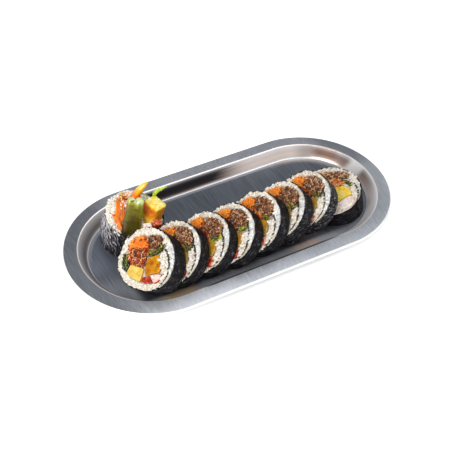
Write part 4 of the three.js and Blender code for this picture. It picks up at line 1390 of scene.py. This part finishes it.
def add_leaves(heap, cut, name, chance, folds=4, tones=(0.15, 0.75)):
    """Folded leaves seen edge on: wavy ribbons along their line, running back into the roll, with painted highlights
    on their rims and painted shade further back.
    """
    top, thickness, steps = 0.4, 0.34, 33
    line, width = FOLDS[cut.number].get(name, FOLDS[1][name])
    for fold in range(folds):
        offset = ((fold + 0.5) / folds - 0.5) * width
        start, end = chance.uniform(0, 0.22), chance.uniform(0.78, 1)
        path = smooth_path([(h, v, 0) for h, v in line], steps + 1)[int(start * steps) : int(end * steps) + 1]
        along = np.gradient(path[:, :2], axis=0)
        along /= np.linalg.norm(along, axis=1)[:, None]
        across = np.column_stack([-along[:, 1], along[:, 0]])
        step = np.arange(len(path))
        wave = 0.32 * np.sin(step * chance.uniform(0.5, 1.0) + chance.uniform(0, 6)) + 0.14 * np.sin(step * 1.9 + fold)
        path[:, :2] += across * (offset + wave)[:, None]
        high = top + chance.uniform(-0.3, 0.6) + 0.3 * np.sin(step * 0.7 + fold)
        rows = []
        for level in (1.0, 0.94, 0.5, 0.0):
            row = path.copy()
            row[:, 2] = (0.2 - cut.thick) * (1 - level) + high * level
            row[:, :2] += across * (1 - level) * chance.uniform(-0.3, 0.3)
            rows.append(row)
        half = np.column_stack([across, np.zeros(len(path))]) * thickness / 2
        points = np.concatenate([np.array(rows) + half, np.array(rows) - half]).reshape(-1, 3)
        # A painted highlight on the rim, and painted shade towards the back of each ribbon.
        tone = chance.uniform(*tones) + np.tile(np.repeat([0.3, 0.1, -0.1, -0.2], len(path)), 2)
        heap.add(cut.place(points), *sheet_faces(len(rows), len(path)), tone=np.clip(tone, 0, 1))


# Tones of each slice's fillings, from the deepest at 0 to the palest at 1. The beef's is added to a random one, and
# each shred takes one from its list. The last slice lies face up, and its paler tones are partly painted light.
BEEF_TONES = {1: 0, 2: 0.18, 3: 0.24, 4: 0.24, 5: 0.26, 6: 0.28, 7: 0.3, 8: 0.56}
SHRED_TONES = {1: [0.02, 0.12, 0.4, 0.6, 0.92], 8: [0.6, 0.8, 0.9, 1]}
FIRM_TONES = {
    "radish": {1: 0.29, 8: 0.94, **dict.fromkeys(range(2, 8), 0.5)},
    "egg": {1: 0.38},
    "crab": {1: 0.62, 8: 0.85},
    "ham": {1: 0.58, 2: 0.6, 3: 0.62, 4: 0.62, 5: 0.85, 6: 0.92, 7: 0.92},
}
OTHER_FIRM = 0.45


class PLATE_OT_fillings(Operator):
    """Run the nine fillings through every slice"""

    bl_idname = "plate.fillings"
    bl_label = "Fillings"

    def execute(self, context):
        heaps = {name: Heap() for name in PROUD}
        for cut in CUTS:
            chance = dice(FILLING_SEED + cut.number)
            for name in SOFT:
                # The soft cores' low tone is painted shade between the crumbs and strands that lie on them.
                heaps[name].add(*soft_core(name, cut), tone=0.1)
            self.add_carrot(heaps["carrot"], cut, chance)
            self.add_beef(heaps["beef"], cut, chance)
            self.add_red_shreds(heaps["shreds"], cut, chance)
            self.add_greens(heaps["greens"], cut, chance)
            add_leaves(heaps["spinach"], cut, "spinach", chance, folds=9, tones=(0.05, 0.6))
            for name in FIRM:
                self.add_firm(heaps[name], cut, name, chance)
        for name, heap in heaps.items():
            nodes = [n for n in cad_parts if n.startswith("slice_") and n.endswith("_" + name)]
            heap.piece(f"{name}_filling", food(name), name, nodes)
        return {"FINISHED"}

    @staticmethod
    def add_carrot(heap, cut, chance):
        # Painted light: the carrot of slices 2 to 7 is painted paler against the shade it lies in.
        add_sticks(heap, cut, "carrot", chance, 0.47 if cut.number == 1 else 0.88)
        add_shreds(heap, cut, within(cut, "carrot", 0.9), chance, 0.95, length=(2.4, 5.0), thick=(0.5, 0.8),
                   tones=[0.55, 0.75, 0.9], lift=0.35)

    @staticmethod
    def add_beef(heap, cut, chance):
        """Mince on both faces, coarser behind, with a few strands in front."""
        crumbs = [lump_shape(k, 0.55) for k in range(5)]
        reach = within(cut, "beef", 0.2)
        for side, spacing, size in ((FRONT, 1.0, 1.0), (BACK, 1.5, 1.5)):
            lengths, widths = (1.2 * size, 2.4 * size), (0.8 * size, 1.4 * size)
            for points, triangles, tone in scattered(crumbs, reach, spacing, chance, lengths, widths, 0.2):
                tone = tone * 0.8 + BEEF_TONES[cut.number]
                heap.add_copies(cut, cut.turned(points, side), triangles, tone=tone)
        add_shreds(heap, cut, within(cut, "beef", 0.4), chance, 0.75, length=(1.6, 3.6), thick=(0.22, 0.45),
                   spacing=1.25, lift=0.45)

    @staticmethod
    def add_red_shreds(heap, cut, chance):
        """A tangle, finer where more of it shows, and a few shreds behind."""
        spacing = 1.15 if cut.number in (1, 5, 8) else 1.8
        thick = (0.2, 0.42) if cut.number == 1 else (0.3, 0.55)
        tones = SHRED_TONES.get(cut.number, [0.2, 0.45, 0.65, 0.85])
        add_shreds(heap, cut, within(cut, "shreds", -0.2), chance, 0.35, thick=thick, tones=tones, spacing=spacing)
        add_shreds(heap, cut, within(cut, "shreds", 0.4), chance, -cut.thick - 0.3, spacing=2.6, lift=0.0)

    @staticmethod
    def add_greens(heap, cut, chance):
        bright = 0.45 if cut.number in (3, 4) else 0.0
        add_leaves(heap, cut, "greens", chance, tones=(0.02 + bright, 0.42 + bright))
        add_shreds(heap, cut, within(cut, "greens", -0.1), chance, 0.7, length=(1.4, 3.4), thick=(0.25, 0.55),
                   tones=[0.05, 0.3, 0.5, 0.7 + bright], spacing=1.5)

    @staticmethod
    def add_firm(heap, cut, name, chance):
        """A firm filling. The radish shows its skin all over on most slices, and the last crab stick hardly."""
        points, near, quads, caps = firm_body(name, cut)
        middle = FIRM_TONES[name].get(cut.number, OTHER_FIRM)
        tone = np.clip(chance.normal(middle, 0.03) + 0.25 * rough(points, 3.0, 5), 0, 1)
        if (name, cut.number) == ("crab", 8):
            near = near * 0.87
        if name == "radish" and cut.number not in (1, 8):
            near = np.maximum(near, 1.03)
        heap.add(cut.place(points), quads, caps, tone=tone, skin=near)


# ---- End piece ----


def loose_body(name, corner, relief):
    """An end filling: a firm body from the floor up through the rice and out, before it drifts."""
    filling = END_FILLINGS[name]
    outline = outline_of(lambda p: edge_distance(filling, p), 48)
    low = float(END_CUT.base(np.array([[*filling["at"], 0]]))[0]) + 0.6
    points, near, quads, caps = block(outline, low, filling["top"], corner, steps=16, inner=7)
    points += relief * np.stack([rough(points + 20 * k, 2.4, 60 + k) + 0.5 * rough(points, 0.9, 70 + k)
                                 for k in range(3)], -1)
    return points, near, quads, caps


def smooth_path(points, count):
    """A smooth curve through the points."""
    points = np.array(points, float)
    padded = np.concatenate([[2 * points[0] - points[1]], points, [2 * points[-1] - points[-2]]])
    made = []
    for t in np.linspace(0, len(points) - 1 - 1e-6, count):
        i, f = int(t), t - int(t)
        a, b, c, d = padded[i : i + 4]
        made.append(0.5 * (2 * b + (c - a) * f + (2 * a - 5 * b + 4 * c - d) * f**2 + (3 * b - a - 3 * c + d) * f**3))
    return np.array(made)


def read_off(table, values):
    """Numbers read off a table, and evenly between its entries."""
    return np.interp(values, list(table), list(table.values()))


# How each firm end filling is toned, partly with painted light and shade, from the deepest tone at 0 to the palest at
# 1.


def slab_tone(points):
    """Dark at the foot as painted shade, pale at the top, partly its own flesh and partly a painted highlight, and
    with a lighter strip down the right as painted light.
    """
    up = np.clip((points[:, 2] - 22) / 23, 0, 1)
    right = np.clip((points[:, 0] + 8.6 - 3.2) / 3.0, 0, 1)
    return 0.1 + 0.36 * up + 0.24 * right + 0.5 * np.clip(up * 5 - 3.9, 0, 1) + 0.14 * rough(points, 5, 3)


def egg_tone(points):
    """Browned on the left and yellow at the left foot; paler on top, partly its crumbly cut and partly painted light;
    and pale at the right, painted light on that shaded face.
    """
    top = np.clip((points[:, 2] - 36.6) / 1.2, 0, 1)
    left = np.clip((6.4 - points[:, 0]) / 1.5, 0, 1) * (1 - top)
    right = np.clip((points[:, 0] - 15.5) / 1.2, 0, 1) * (1 - top)
    foot = np.clip((29.5 - points[:, 2]) / 3, 0, 1)
    mottle = (0.1 + 0.2 * (left + top)) * (0.5 * rough(points, 2.2, 4) + 0.3 * rough(points, 1.0, 5))
    return 0.5 - 0.26 * left * (1 - foot) + 0.24 * left * foot + 0.32 * top + 0.5 * right + mottle


def ham_tone(points):
    """Paler on its cut top, a painted highlight."""
    return 0.5 + 0.25 * (points[:, 2] > 28.8)


def crab_tone(points):
    return 0.86 + 0.1 * rough(points, 1.5, 9)


def notch_slab(points):
    """The slab's top is uneven, with a notch between two lobes."""
    side = points[:, 0] + 8.6
    out = np.clip((points[:, 2] - 36) / 9, 0, 1)
    points[:, 2] -= out * (1.8 * np.exp(-(((side - 0.5) / 1.3) ** 2)) + 0.1 * np.maximum(side, 0))


def turn_egg(points):
    """The egg stands with a corner to the front and its broad side to the left."""
    middle, turn = END_FILLINGS["egg"]["at"], math.radians(15)
    x, y = points[:, 0] - middle[0], points[:, 1] - middle[1]
    points[:, 0] = middle[0] + x * math.cos(turn) - y * math.sin(turn)
    points[:, 1] = middle[1] + x * math.sin(turn) + y * math.cos(turn)


class PLATE_OT_end_piece(Operator):
    """Stand the loose fillings in the roll's end: slab, egg, stick, ham, crab stick, shreds and leaves"""

    bl_idname = "plate.end_piece"
    bl_label = "End piece"

    def execute(self, context):
        self.stand("green_slab", "cucumber", "cucumber", 1.4, 0.2, slab_tone, notch_slab)
        self.stand("egg", "omelette", "egg", 0.8, 0.4, egg_tone, turn_egg)
        self.add_stick()
        self.stand("ham", "ham", "ham", 0.7, 0.15, ham_tone)
        self.stand("crab", "crab", "crab", 1.0, 0.3, crab_tone)
        chance = dice(END_SEED)
        self.add_strips(chance)
        self.add_red_shreds(chance)
        self.add_bits(chance)
        self.add_greenery()
        return {"FINISHED"}

    @staticmethod
    def stand(name, finish, slot, corner, relief, shade, shape=None):
        """A firm filling in its room. The crab stick's skin lies on its left, and other skins follow the edge."""
        points, near, quads, caps = loose_body(name, corner, relief)
        tone = np.clip(shade(points), 0, 1)
        skin = np.clip((0.5 - points[:, 0]) / 5, 0, 1) * 0.5 + near * 0.42 if name == "crab" else near
        if shape:
            shape(points)
        heap = Heap()
        heap.add(END_CUT.place(loosened(points, END_FILLINGS[name])), quads, caps, tone=tone, skin=skin)
        heap.piece(f"end_{name}_piece", food(finish), slot, [f"end_{name}"])

    @staticmethod
    def add_stick():
        """A broad strip of carrot, redder below, narrowing to a slanted tip."""
        heap = Heap()
        path = smooth_path(STICK_LINE, 40)
        points, quads, caps = tube(path, read_off(STICK_WIDTHS, path[:, 2]), 6, 0.6, (0.85, 0.0, -0.5), 0.9)
        points += 0.12 * rough(points, 3.0, 71)[:, None]
        up = np.clip((points[:, 2] - 31) / 12, 0, 1)
        middle = np.interp(points[:, 2], path[:, 2], path[:, 0])
        left = np.clip((middle - points[:, 0]) / 2.6, 0, 1)
        tone = 0.04 + 0.58 * up + 0.36 * left * np.clip(up * 2, 0.3, 1) + 0.1 * rough(points, 2, 5)
        heap.add(END_CUT.place(points), quads, caps, tone=np.clip(tone, 0, 1))
        heap.piece("end_carrot_stick_piece", food("stick"), "carrot", ["end_carrot_stick"])

    @staticmethod
    def add_strips(chance):
        """Orange strips between the rice and the slab: a long fan, one at the far side and a short one on top."""
        heap = Heap()
        filling = END_FILLINGS["carrot_shreds"]
        outline = outline_of(lambda p: edge_distance(filling, p) + 0.6)
        points, _, quads, caps = block(outline, 4.0, 23.5, 1.0)
        # The core's low tone is painted shade between the strips.
        heap.add(END_CUT.place(points), quads, caps, tone=0.1)
        strips = [((-6.2 - i, 13.6 + 0.4 * i), (-13.6 - 0.9 * i, -4.2 + 0.3 * i)) for i in range(5)] * 2
        strips += [((-17.4 + 0.9 * i, 4.0 - i), (-18.6 + 1.4 * i, -10.4 + 0.8 * i)) for i in range(4)] * 2
        strips += [((-5.0 - 1.3 * i, 12.0 - 1.4 * i), (-10.6 - 1.2 * i, -1.6 - 1.5 * i)) for i in range(3)] * 2
        for k, (start, end) in enumerate(strips):
            start, end = start + chance.normal(0, 0.8, 2), end + chance.normal(0, 0.9, 2)
            path = np.linspace(start, end, 7)
            path += np.sin(np.linspace(0, np.pi, 7))[:, None] * chance.normal(0, 0.9, 2)
            level = end_top(path) + 1.3 + chance.uniform(-0.2, 1.3)
            path = np.column_stack([path, np.maximum(level, level.max() - 3.4)])
            path[0, 2] -= 0.8
            radii = chance.uniform(0.62, 0.9) * read_off({0: 0.7, 1: 1, 5: 1, 6: 0.6}, np.arange(7))
            tone = max(chance.normal(0.74 if k < 10 else 0.5, 0.16), 0.08)
            heap.add_strand(END_CUT, path, radii, 6, 0.65, (0.2, 0.3, 1), 0.6, tone=tone)
        heap.piece("end_shreds_piece", food("carrot"), "carrot", ["end_carrot_shreds"])

    @staticmethod
    def add_red_shreds(chance):
        heap = Heap()
        for spot, count, wide in RED_TUFTS:
            for _ in range(count):
                middle = spot + chance.normal(0, wide, 2)
                away = chance.normal(0, 1.7, 2)
                path = np.linspace(middle - away, middle + away, 5)
                level = end_top(path).mean() + chance.uniform(0.4, 1.7)
                path = np.column_stack([path, level + 0.5 * np.sin(np.arange(5) + chance.uniform(0, 6))])
                heap.add_strand(END_CUT, path, chance.uniform(0.45, 0.75), 5, 0.75, (0.2, 0.3, 1),
                                tone=chance.uniform(0.1, 0.62))
        heap.piece("end_red_shreds", food("shreds"), "shreds")

    @staticmethod
    def add_bits(chance):
        """Orange crumbs round the slab and the egg, and a few strips behind the slab."""
        heap = Heap()
        shapes = [lump_shape(60 + k) for k in range(3)]
        for k, place in enumerate(CRUMB_PLACES):
            size = chance.uniform(1.1, 1.9, 3) * [1.3, 0.9, 0.9]
            turn = turns(chance.uniform(*ANY_TURN, 1), 0.3, 0.5)
            copies = swarm(shapes[k % 3], np.array([place]), turn, size[None])
            heap.add_copies(END_CUT, *copies, tone=chance.uniform(0.25, 0.95))
        for k in range(6):
            start = np.array([-7.6 + 1.5 * k, 11.6 + 0.3 * k, 29.0]) + chance.normal(0, 0.5, 3)
            end = np.array([-4.6 + 1.4 * k, 17.8 + 0.2 * k, 31.0]) + chance.normal(0, 0.5, 3)
            heap.add_strand(END_CUT, np.linspace(start, end, 5), chance.uniform(0.55, 0.8), 6, 0.6, (0.2, -0.6, 1),
                            0.6, tone=chance.uniform(0.5, 0.95))
        heap.piece("end_bits", food("stick"), "carrot")

    @staticmethod
    def add_greenery():
        """A stem that curls over the egg, and a crinkled leaf that points away to the right."""
        heap = Heap()
        stem = smooth_path(STEM_LINE, 26)
        heap.add_strand(END_CUT, stem, 0.55 + 0.15 * np.sin(np.arange(26) * 0.7), 7, 0.8, (0.2, 1, 0.1), tone=0.45)
        share = np.linspace(0, 1, 40)
        widths = read_off(LEAF_WIDTHS, share) * (1 + 0.3 * np.sin(np.arange(40) * 1.9) * (share > 0.3))
        points, quads, caps = tube(smooth_path(LEAF_LINE, 40), widths, 12, 0.22, (0.25, -0.6, 1))
        points += 0.3 * np.stack([rough(points + 9 * k, 1.1, 80 + k) for k in range(3)], -1)
        heap.add(END_CUT.place(points), quads, caps, tone=0.75 + 0.35 * rough(points, 1.3, 6))
        heap.piece("end_leaf_and_stem", food("leaf"), "greens")


# ---- Specks and crumbs ----


class PLATE_OT_specks(Operator):
    """Scatter sesame, pepper and seaweed specks over the rice"""

    bl_idname = "plate.specks"
    bl_label = "Specks"

    def execute(self, context):
        chance = dice(SPECK_SEED)
        heap = Heap()
        speck, end_speck, shard = (lump_shape(20 + k) for k in range(3))
        for cut in CUTS:
            for side in (FRONT, BACK):
                self.add_specks(heap, cut, side, speck, chance)
            self.add_shards(heap, cut, shard, chance)
        centres = spread(lambda p: rice_room(p, END_FILLINGS, 22.0) + 0.2, 3.4, chance)
        count = len(centres)
        centres[:, 2] = end_top(centres) + 1.2
        scales = chance.uniform(0.5, 1.3, (count, 3)) * [1.2, 0.8, 0.6]
        copies = swarm(end_speck, centres, turns(chance.uniform(*ANY_TURN, count), 0, 0), scales)
        heap.add_copies(END_CUT, *copies, tone=chance.choice([0.3, 0.6, 0.9], count))
        heap.piece("specks", food("specks"), "nori")
        return {"FINISHED"}

    @staticmethod
    def add_specks(heap, cut, side, shape, chance):
        """Specks here and there on one face of a slice."""
        centres = spread(lambda p: rice_room(p, cut.layout) + 0.2, 4.8, chance)
        count = len(centres)
        centres[:, 2] = 0.55 + chance.normal(0, 0.15, count)
        scales = chance.uniform(0.35, 0.95, (count, 3)) * [1.2, 0.8, 0.6]
        angles = turns(chance.uniform(*ANY_TURN, count), chance.normal(0, 0.4, count), 0)
        points, triangles = swarm(shape, centres, angles, scales)
        tone = chance.choice([0.05, 0.4, 0.7, 0.9, 0.95, 1.0], count)
        heap.add_copies(cut, cut.turned(points, side), triangles, tone=tone)

    @staticmethod
    def add_shards(heap, cut, shape, chance):
        """Dark shards of seaweed along the lap."""
        def reach(points):
            return np.maximum(rice_room(points, cut.layout) + 0.3, np.abs(lap_distance(points, cut.lap)) - 0.6)

        centres = spread(reach, 1.0, chance)
        centres = centres[chance.uniform(0, 1, len(centres)) > 0.35]
        count = len(centres)
        if not count:
            return
        scales = chance.uniform(0.8, 1.6, (count, 3)) * [1.1, 0.6, 0.6]
        along = np.arctan2(centres[:, 1], centres[:, 0]) + math.pi / 2 + chance.normal(0, 0.35, count)
        centres[:, 2] = 0.62
        heap.add_copies(cut, *swarm(shape, centres, turns(along, 0, 0), scales), tone=0.02)


# ---- Stage, in metres ----

FLOOR_LEVEL = -0.00005
# The room's brightness from straight below to straight above.
ROOM_RAMP = {0: "f4f5f6", 0.12: "e8eaec", 0.42: "8d8a8c", 0.6: "7c828b", 0.68: "787e88", 0.76: "949aa3",
             0.86: "b4b9c0", 1: "d5d8dc"}


class PLATE_OT_stage(Operator):
    """Set the pale floor, the soft lights and the camera"""

    bl_idname = "plate.stage"
    bl_label = "Stage"

    def execute(self, context):
        stage = context.scene.plate_stage
        self.make_floor(stage)
        self.make_lights(stage)
        self.make_world(stage)
        self.make_camera(stage)
        context.scene.view_settings.view_transform = "Standard"
        return {"FINISHED"}

    @staticmethod
    def make_floor(stage):
        """A pale square, a hair below the tray's underside."""
        mesh = bpy.data.meshes.new("floor")
        half = stage.floor_size / 2
        corners = [(x * half, y * half, FLOOR_LEVEL) for x, y in ((-1, -1), (1, -1), (1, 1), (-1, 1))]
        mesh.from_pydata(corners, [], [(0, 1, 2, 3)])
        finish = Finish("pale_floor")
        tone = finish.noise(0.2)
        mesh.materials.append(finish.surface(
            Base_Color=finish.mix(tone, "f4f4f4", "f7f7f6"),
            Roughness=0.8 + tone * 0.1,
            Emission_Color=(1, 1, 1, 1),
            Emission_Strength=0.4,
        ))
        floor = bpy.data.objects.new("floor", mesh)
        bpy.context.scene.collection.objects.link(floor)

    @staticmethod
    def make_lights(stage):
        """Two soft boxes that face the middle of the tray."""
        for name, energy, size, place, colour in (
            ("key", stage.key_power, 0.8, (-0.8, -0.42, 0.9), (1.0, 0.985, 0.96)),
            ("top", stage.top_power, 1.3, (0.75, -0.1, 1.2), (0.98, 0.99, 1.0)),
        ):
            lamp = bpy.data.lights.new(name, "AREA")
            lamp.size, lamp.energy, lamp.color = size, energy, colour
            light = bpy.data.objects.new(name, lamp)
            light.location = place
            light.rotation_euler = (-Vector(place)).to_track_quat("-Z", "Y").to_euler()
            bpy.context.scene.collection.objects.link(light)

    @staticmethod
    def make_world(stage):
        world = bpy.data.worlds.new("studio")
        world.use_nodes = True
        tree = world.node_tree
        place = tree.nodes.new("ShaderNodeTexCoord")
        parts = tree.nodes.new("ShaderNodeSeparateXYZ")
        ramp = tree.nodes.new("ShaderNodeValToRGB")
        Finish.set_stops(ramp.color_ramp, ROOM_RAMP)
        tree.links.new(place.outputs["Generated"], parts.inputs[0])
        tree.links.new(parts.outputs["Z"], ramp.inputs[0])
        tree.links.new(ramp.outputs[0], tree.nodes["Background"].inputs["Color"])
        tree.nodes["Background"].inputs["Strength"].default_value = stage.world_strength
        bpy.context.scene.world = world

    @staticmethod
    def make_camera(stage):
        turn, height, roll = stage.camera_turn, stage.camera_height, stage.camera_roll
        back = Vector((math.sin(turn) * math.cos(height), -math.cos(turn) * math.cos(height), math.sin(height)))
        right = (-back).cross(Vector((0, 0, 1))).normalized()
        above = right.cross(-back)
        side = right * math.cos(roll) + above * math.sin(roll)
        up = above * math.cos(roll) - right * math.sin(roll)
        lens = bpy.data.cameras.new("camera")
        lens.lens = stage.camera_lens
        lens.clip_end = 20
        camera = bpy.data.objects.new("camera", lens)
        place = Vector(stage.camera_target) + back * stage.camera_distance
        camera.matrix_world = Matrix.Translation(place) @ Matrix((side, up, back)).transposed().to_4x4()
        bpy.context.scene.collection.objects.link(camera)
        bpy.context.scene.camera = camera


# ---- Add-on ----


def colour_property(name, description, code):
    return FloatVectorProperty(name=name, description=description, default=linear(code), size=3, min=0, max=1,
                               subtype="COLOR")


def length_property(name, description, default):
    return FloatProperty(name=name, description=description, default=default, min=0, unit="LENGTH", precision=5)


def angle_property(name, description, degrees):
    return FloatProperty(name=name, description=description, default=math.radians(degrees), subtype="ANGLE")


def number_property(name, description, default, **more):
    return FloatProperty(name=name, description=description, default=default, min=0, **more)


class PlateLook(PropertyGroup):
    dark_steel: colour_property("Dark steel", "Steel in the dark of its brushing", "646a74")
    light_steel: colour_property("Light steel", "Steel on its bright hairlines", "9a9ea6")
    steel_roughness: number_property("Steel roughness", "How satin the steel is", 0.42, max=1, subtype="FACTOR")
    sheet_thickness: length_property("Seaweed thickness", "Thickness of the moist sheet", 0.00032)
    grain_length: length_property("Grain length", "Length of a cooked grain", 0.0048)
    grain_width: length_property("Grain width", "Width of a cooked grain", 0.0022)


class PlateStage(PropertyGroup):
    floor_size: length_property("Floor size", "Side of the square floor", 8.0)
    world_strength: number_property("World strength", "Brightness of the room", 0.55)
    key_power: number_property("Key power", "Main soft box on the left", 15, unit="POWER")
    top_power: number_property("Top power", "Soft box on the right", 9, unit="POWER")
    camera_turn: angle_property("Camera turn", "Round the plate", -31.15)
    camera_height: angle_property("Camera height", "Above the horizon", 44.57)
    camera_roll: angle_property("Camera roll", "About the line of sight", 3.01)
    camera_distance: length_property("Camera distance", "From the point looked at", 0.736)
    camera_target: FloatVectorProperty(name="Camera target", description="Point looked at",
                                       default=(-0.0106, -0.0062, 0.0098), subtype="TRANSLATION")
    camera_lens: number_property("Camera lens", "Focal length in millimetres", 75.11)


STEPS = (PLATE_OT_stage, PLATE_OT_tray, PLATE_OT_seaweed, PLATE_OT_rice, PLATE_OT_fillings, PLATE_OT_end_piece,
         PLATE_OT_specks)


class PLATE_PT_panel(Panel):
    """Steps that dress the plate"""

    bl_idname = "PLATE_PT_panel"
    bl_label = "Gimbap"
    bl_space_type = "VIEW_3D"
    bl_region_type = "UI"
    bl_category = "Gimbap"

    def draw(self, context):
        for step in STEPS:
            self.layout.operator(step.bl_idname)
        for group in (context.scene.plate_look, context.scene.plate_stage):
            for name in group.bl_rna.properties.keys():
                if name not in ("rna_type", "name"):
                    self.layout.prop(group, name)


CLASSES = (PlateLook, PlateStage, *STEPS, PLATE_PT_panel)


def register():
    for kind in CLASSES:
        bpy.utils.register_class(kind)
    bpy.types.Scene.plate_look = PointerProperty(type=PlateLook)
    bpy.types.Scene.plate_stage = PointerProperty(type=PlateStage)


def unregister():
    del bpy.types.Scene.plate_stage
    del bpy.types.Scene.plate_look
    for kind in reversed(CLASSES):
        bpy.utils.unregister_class(kind)


def main():
    register()
    for step in STEPS:
        group, _, name = step.bl_idname.partition(".")
        getattr(getattr(bpy.ops, group), name)()


if __name__ == "__main__":
    main()
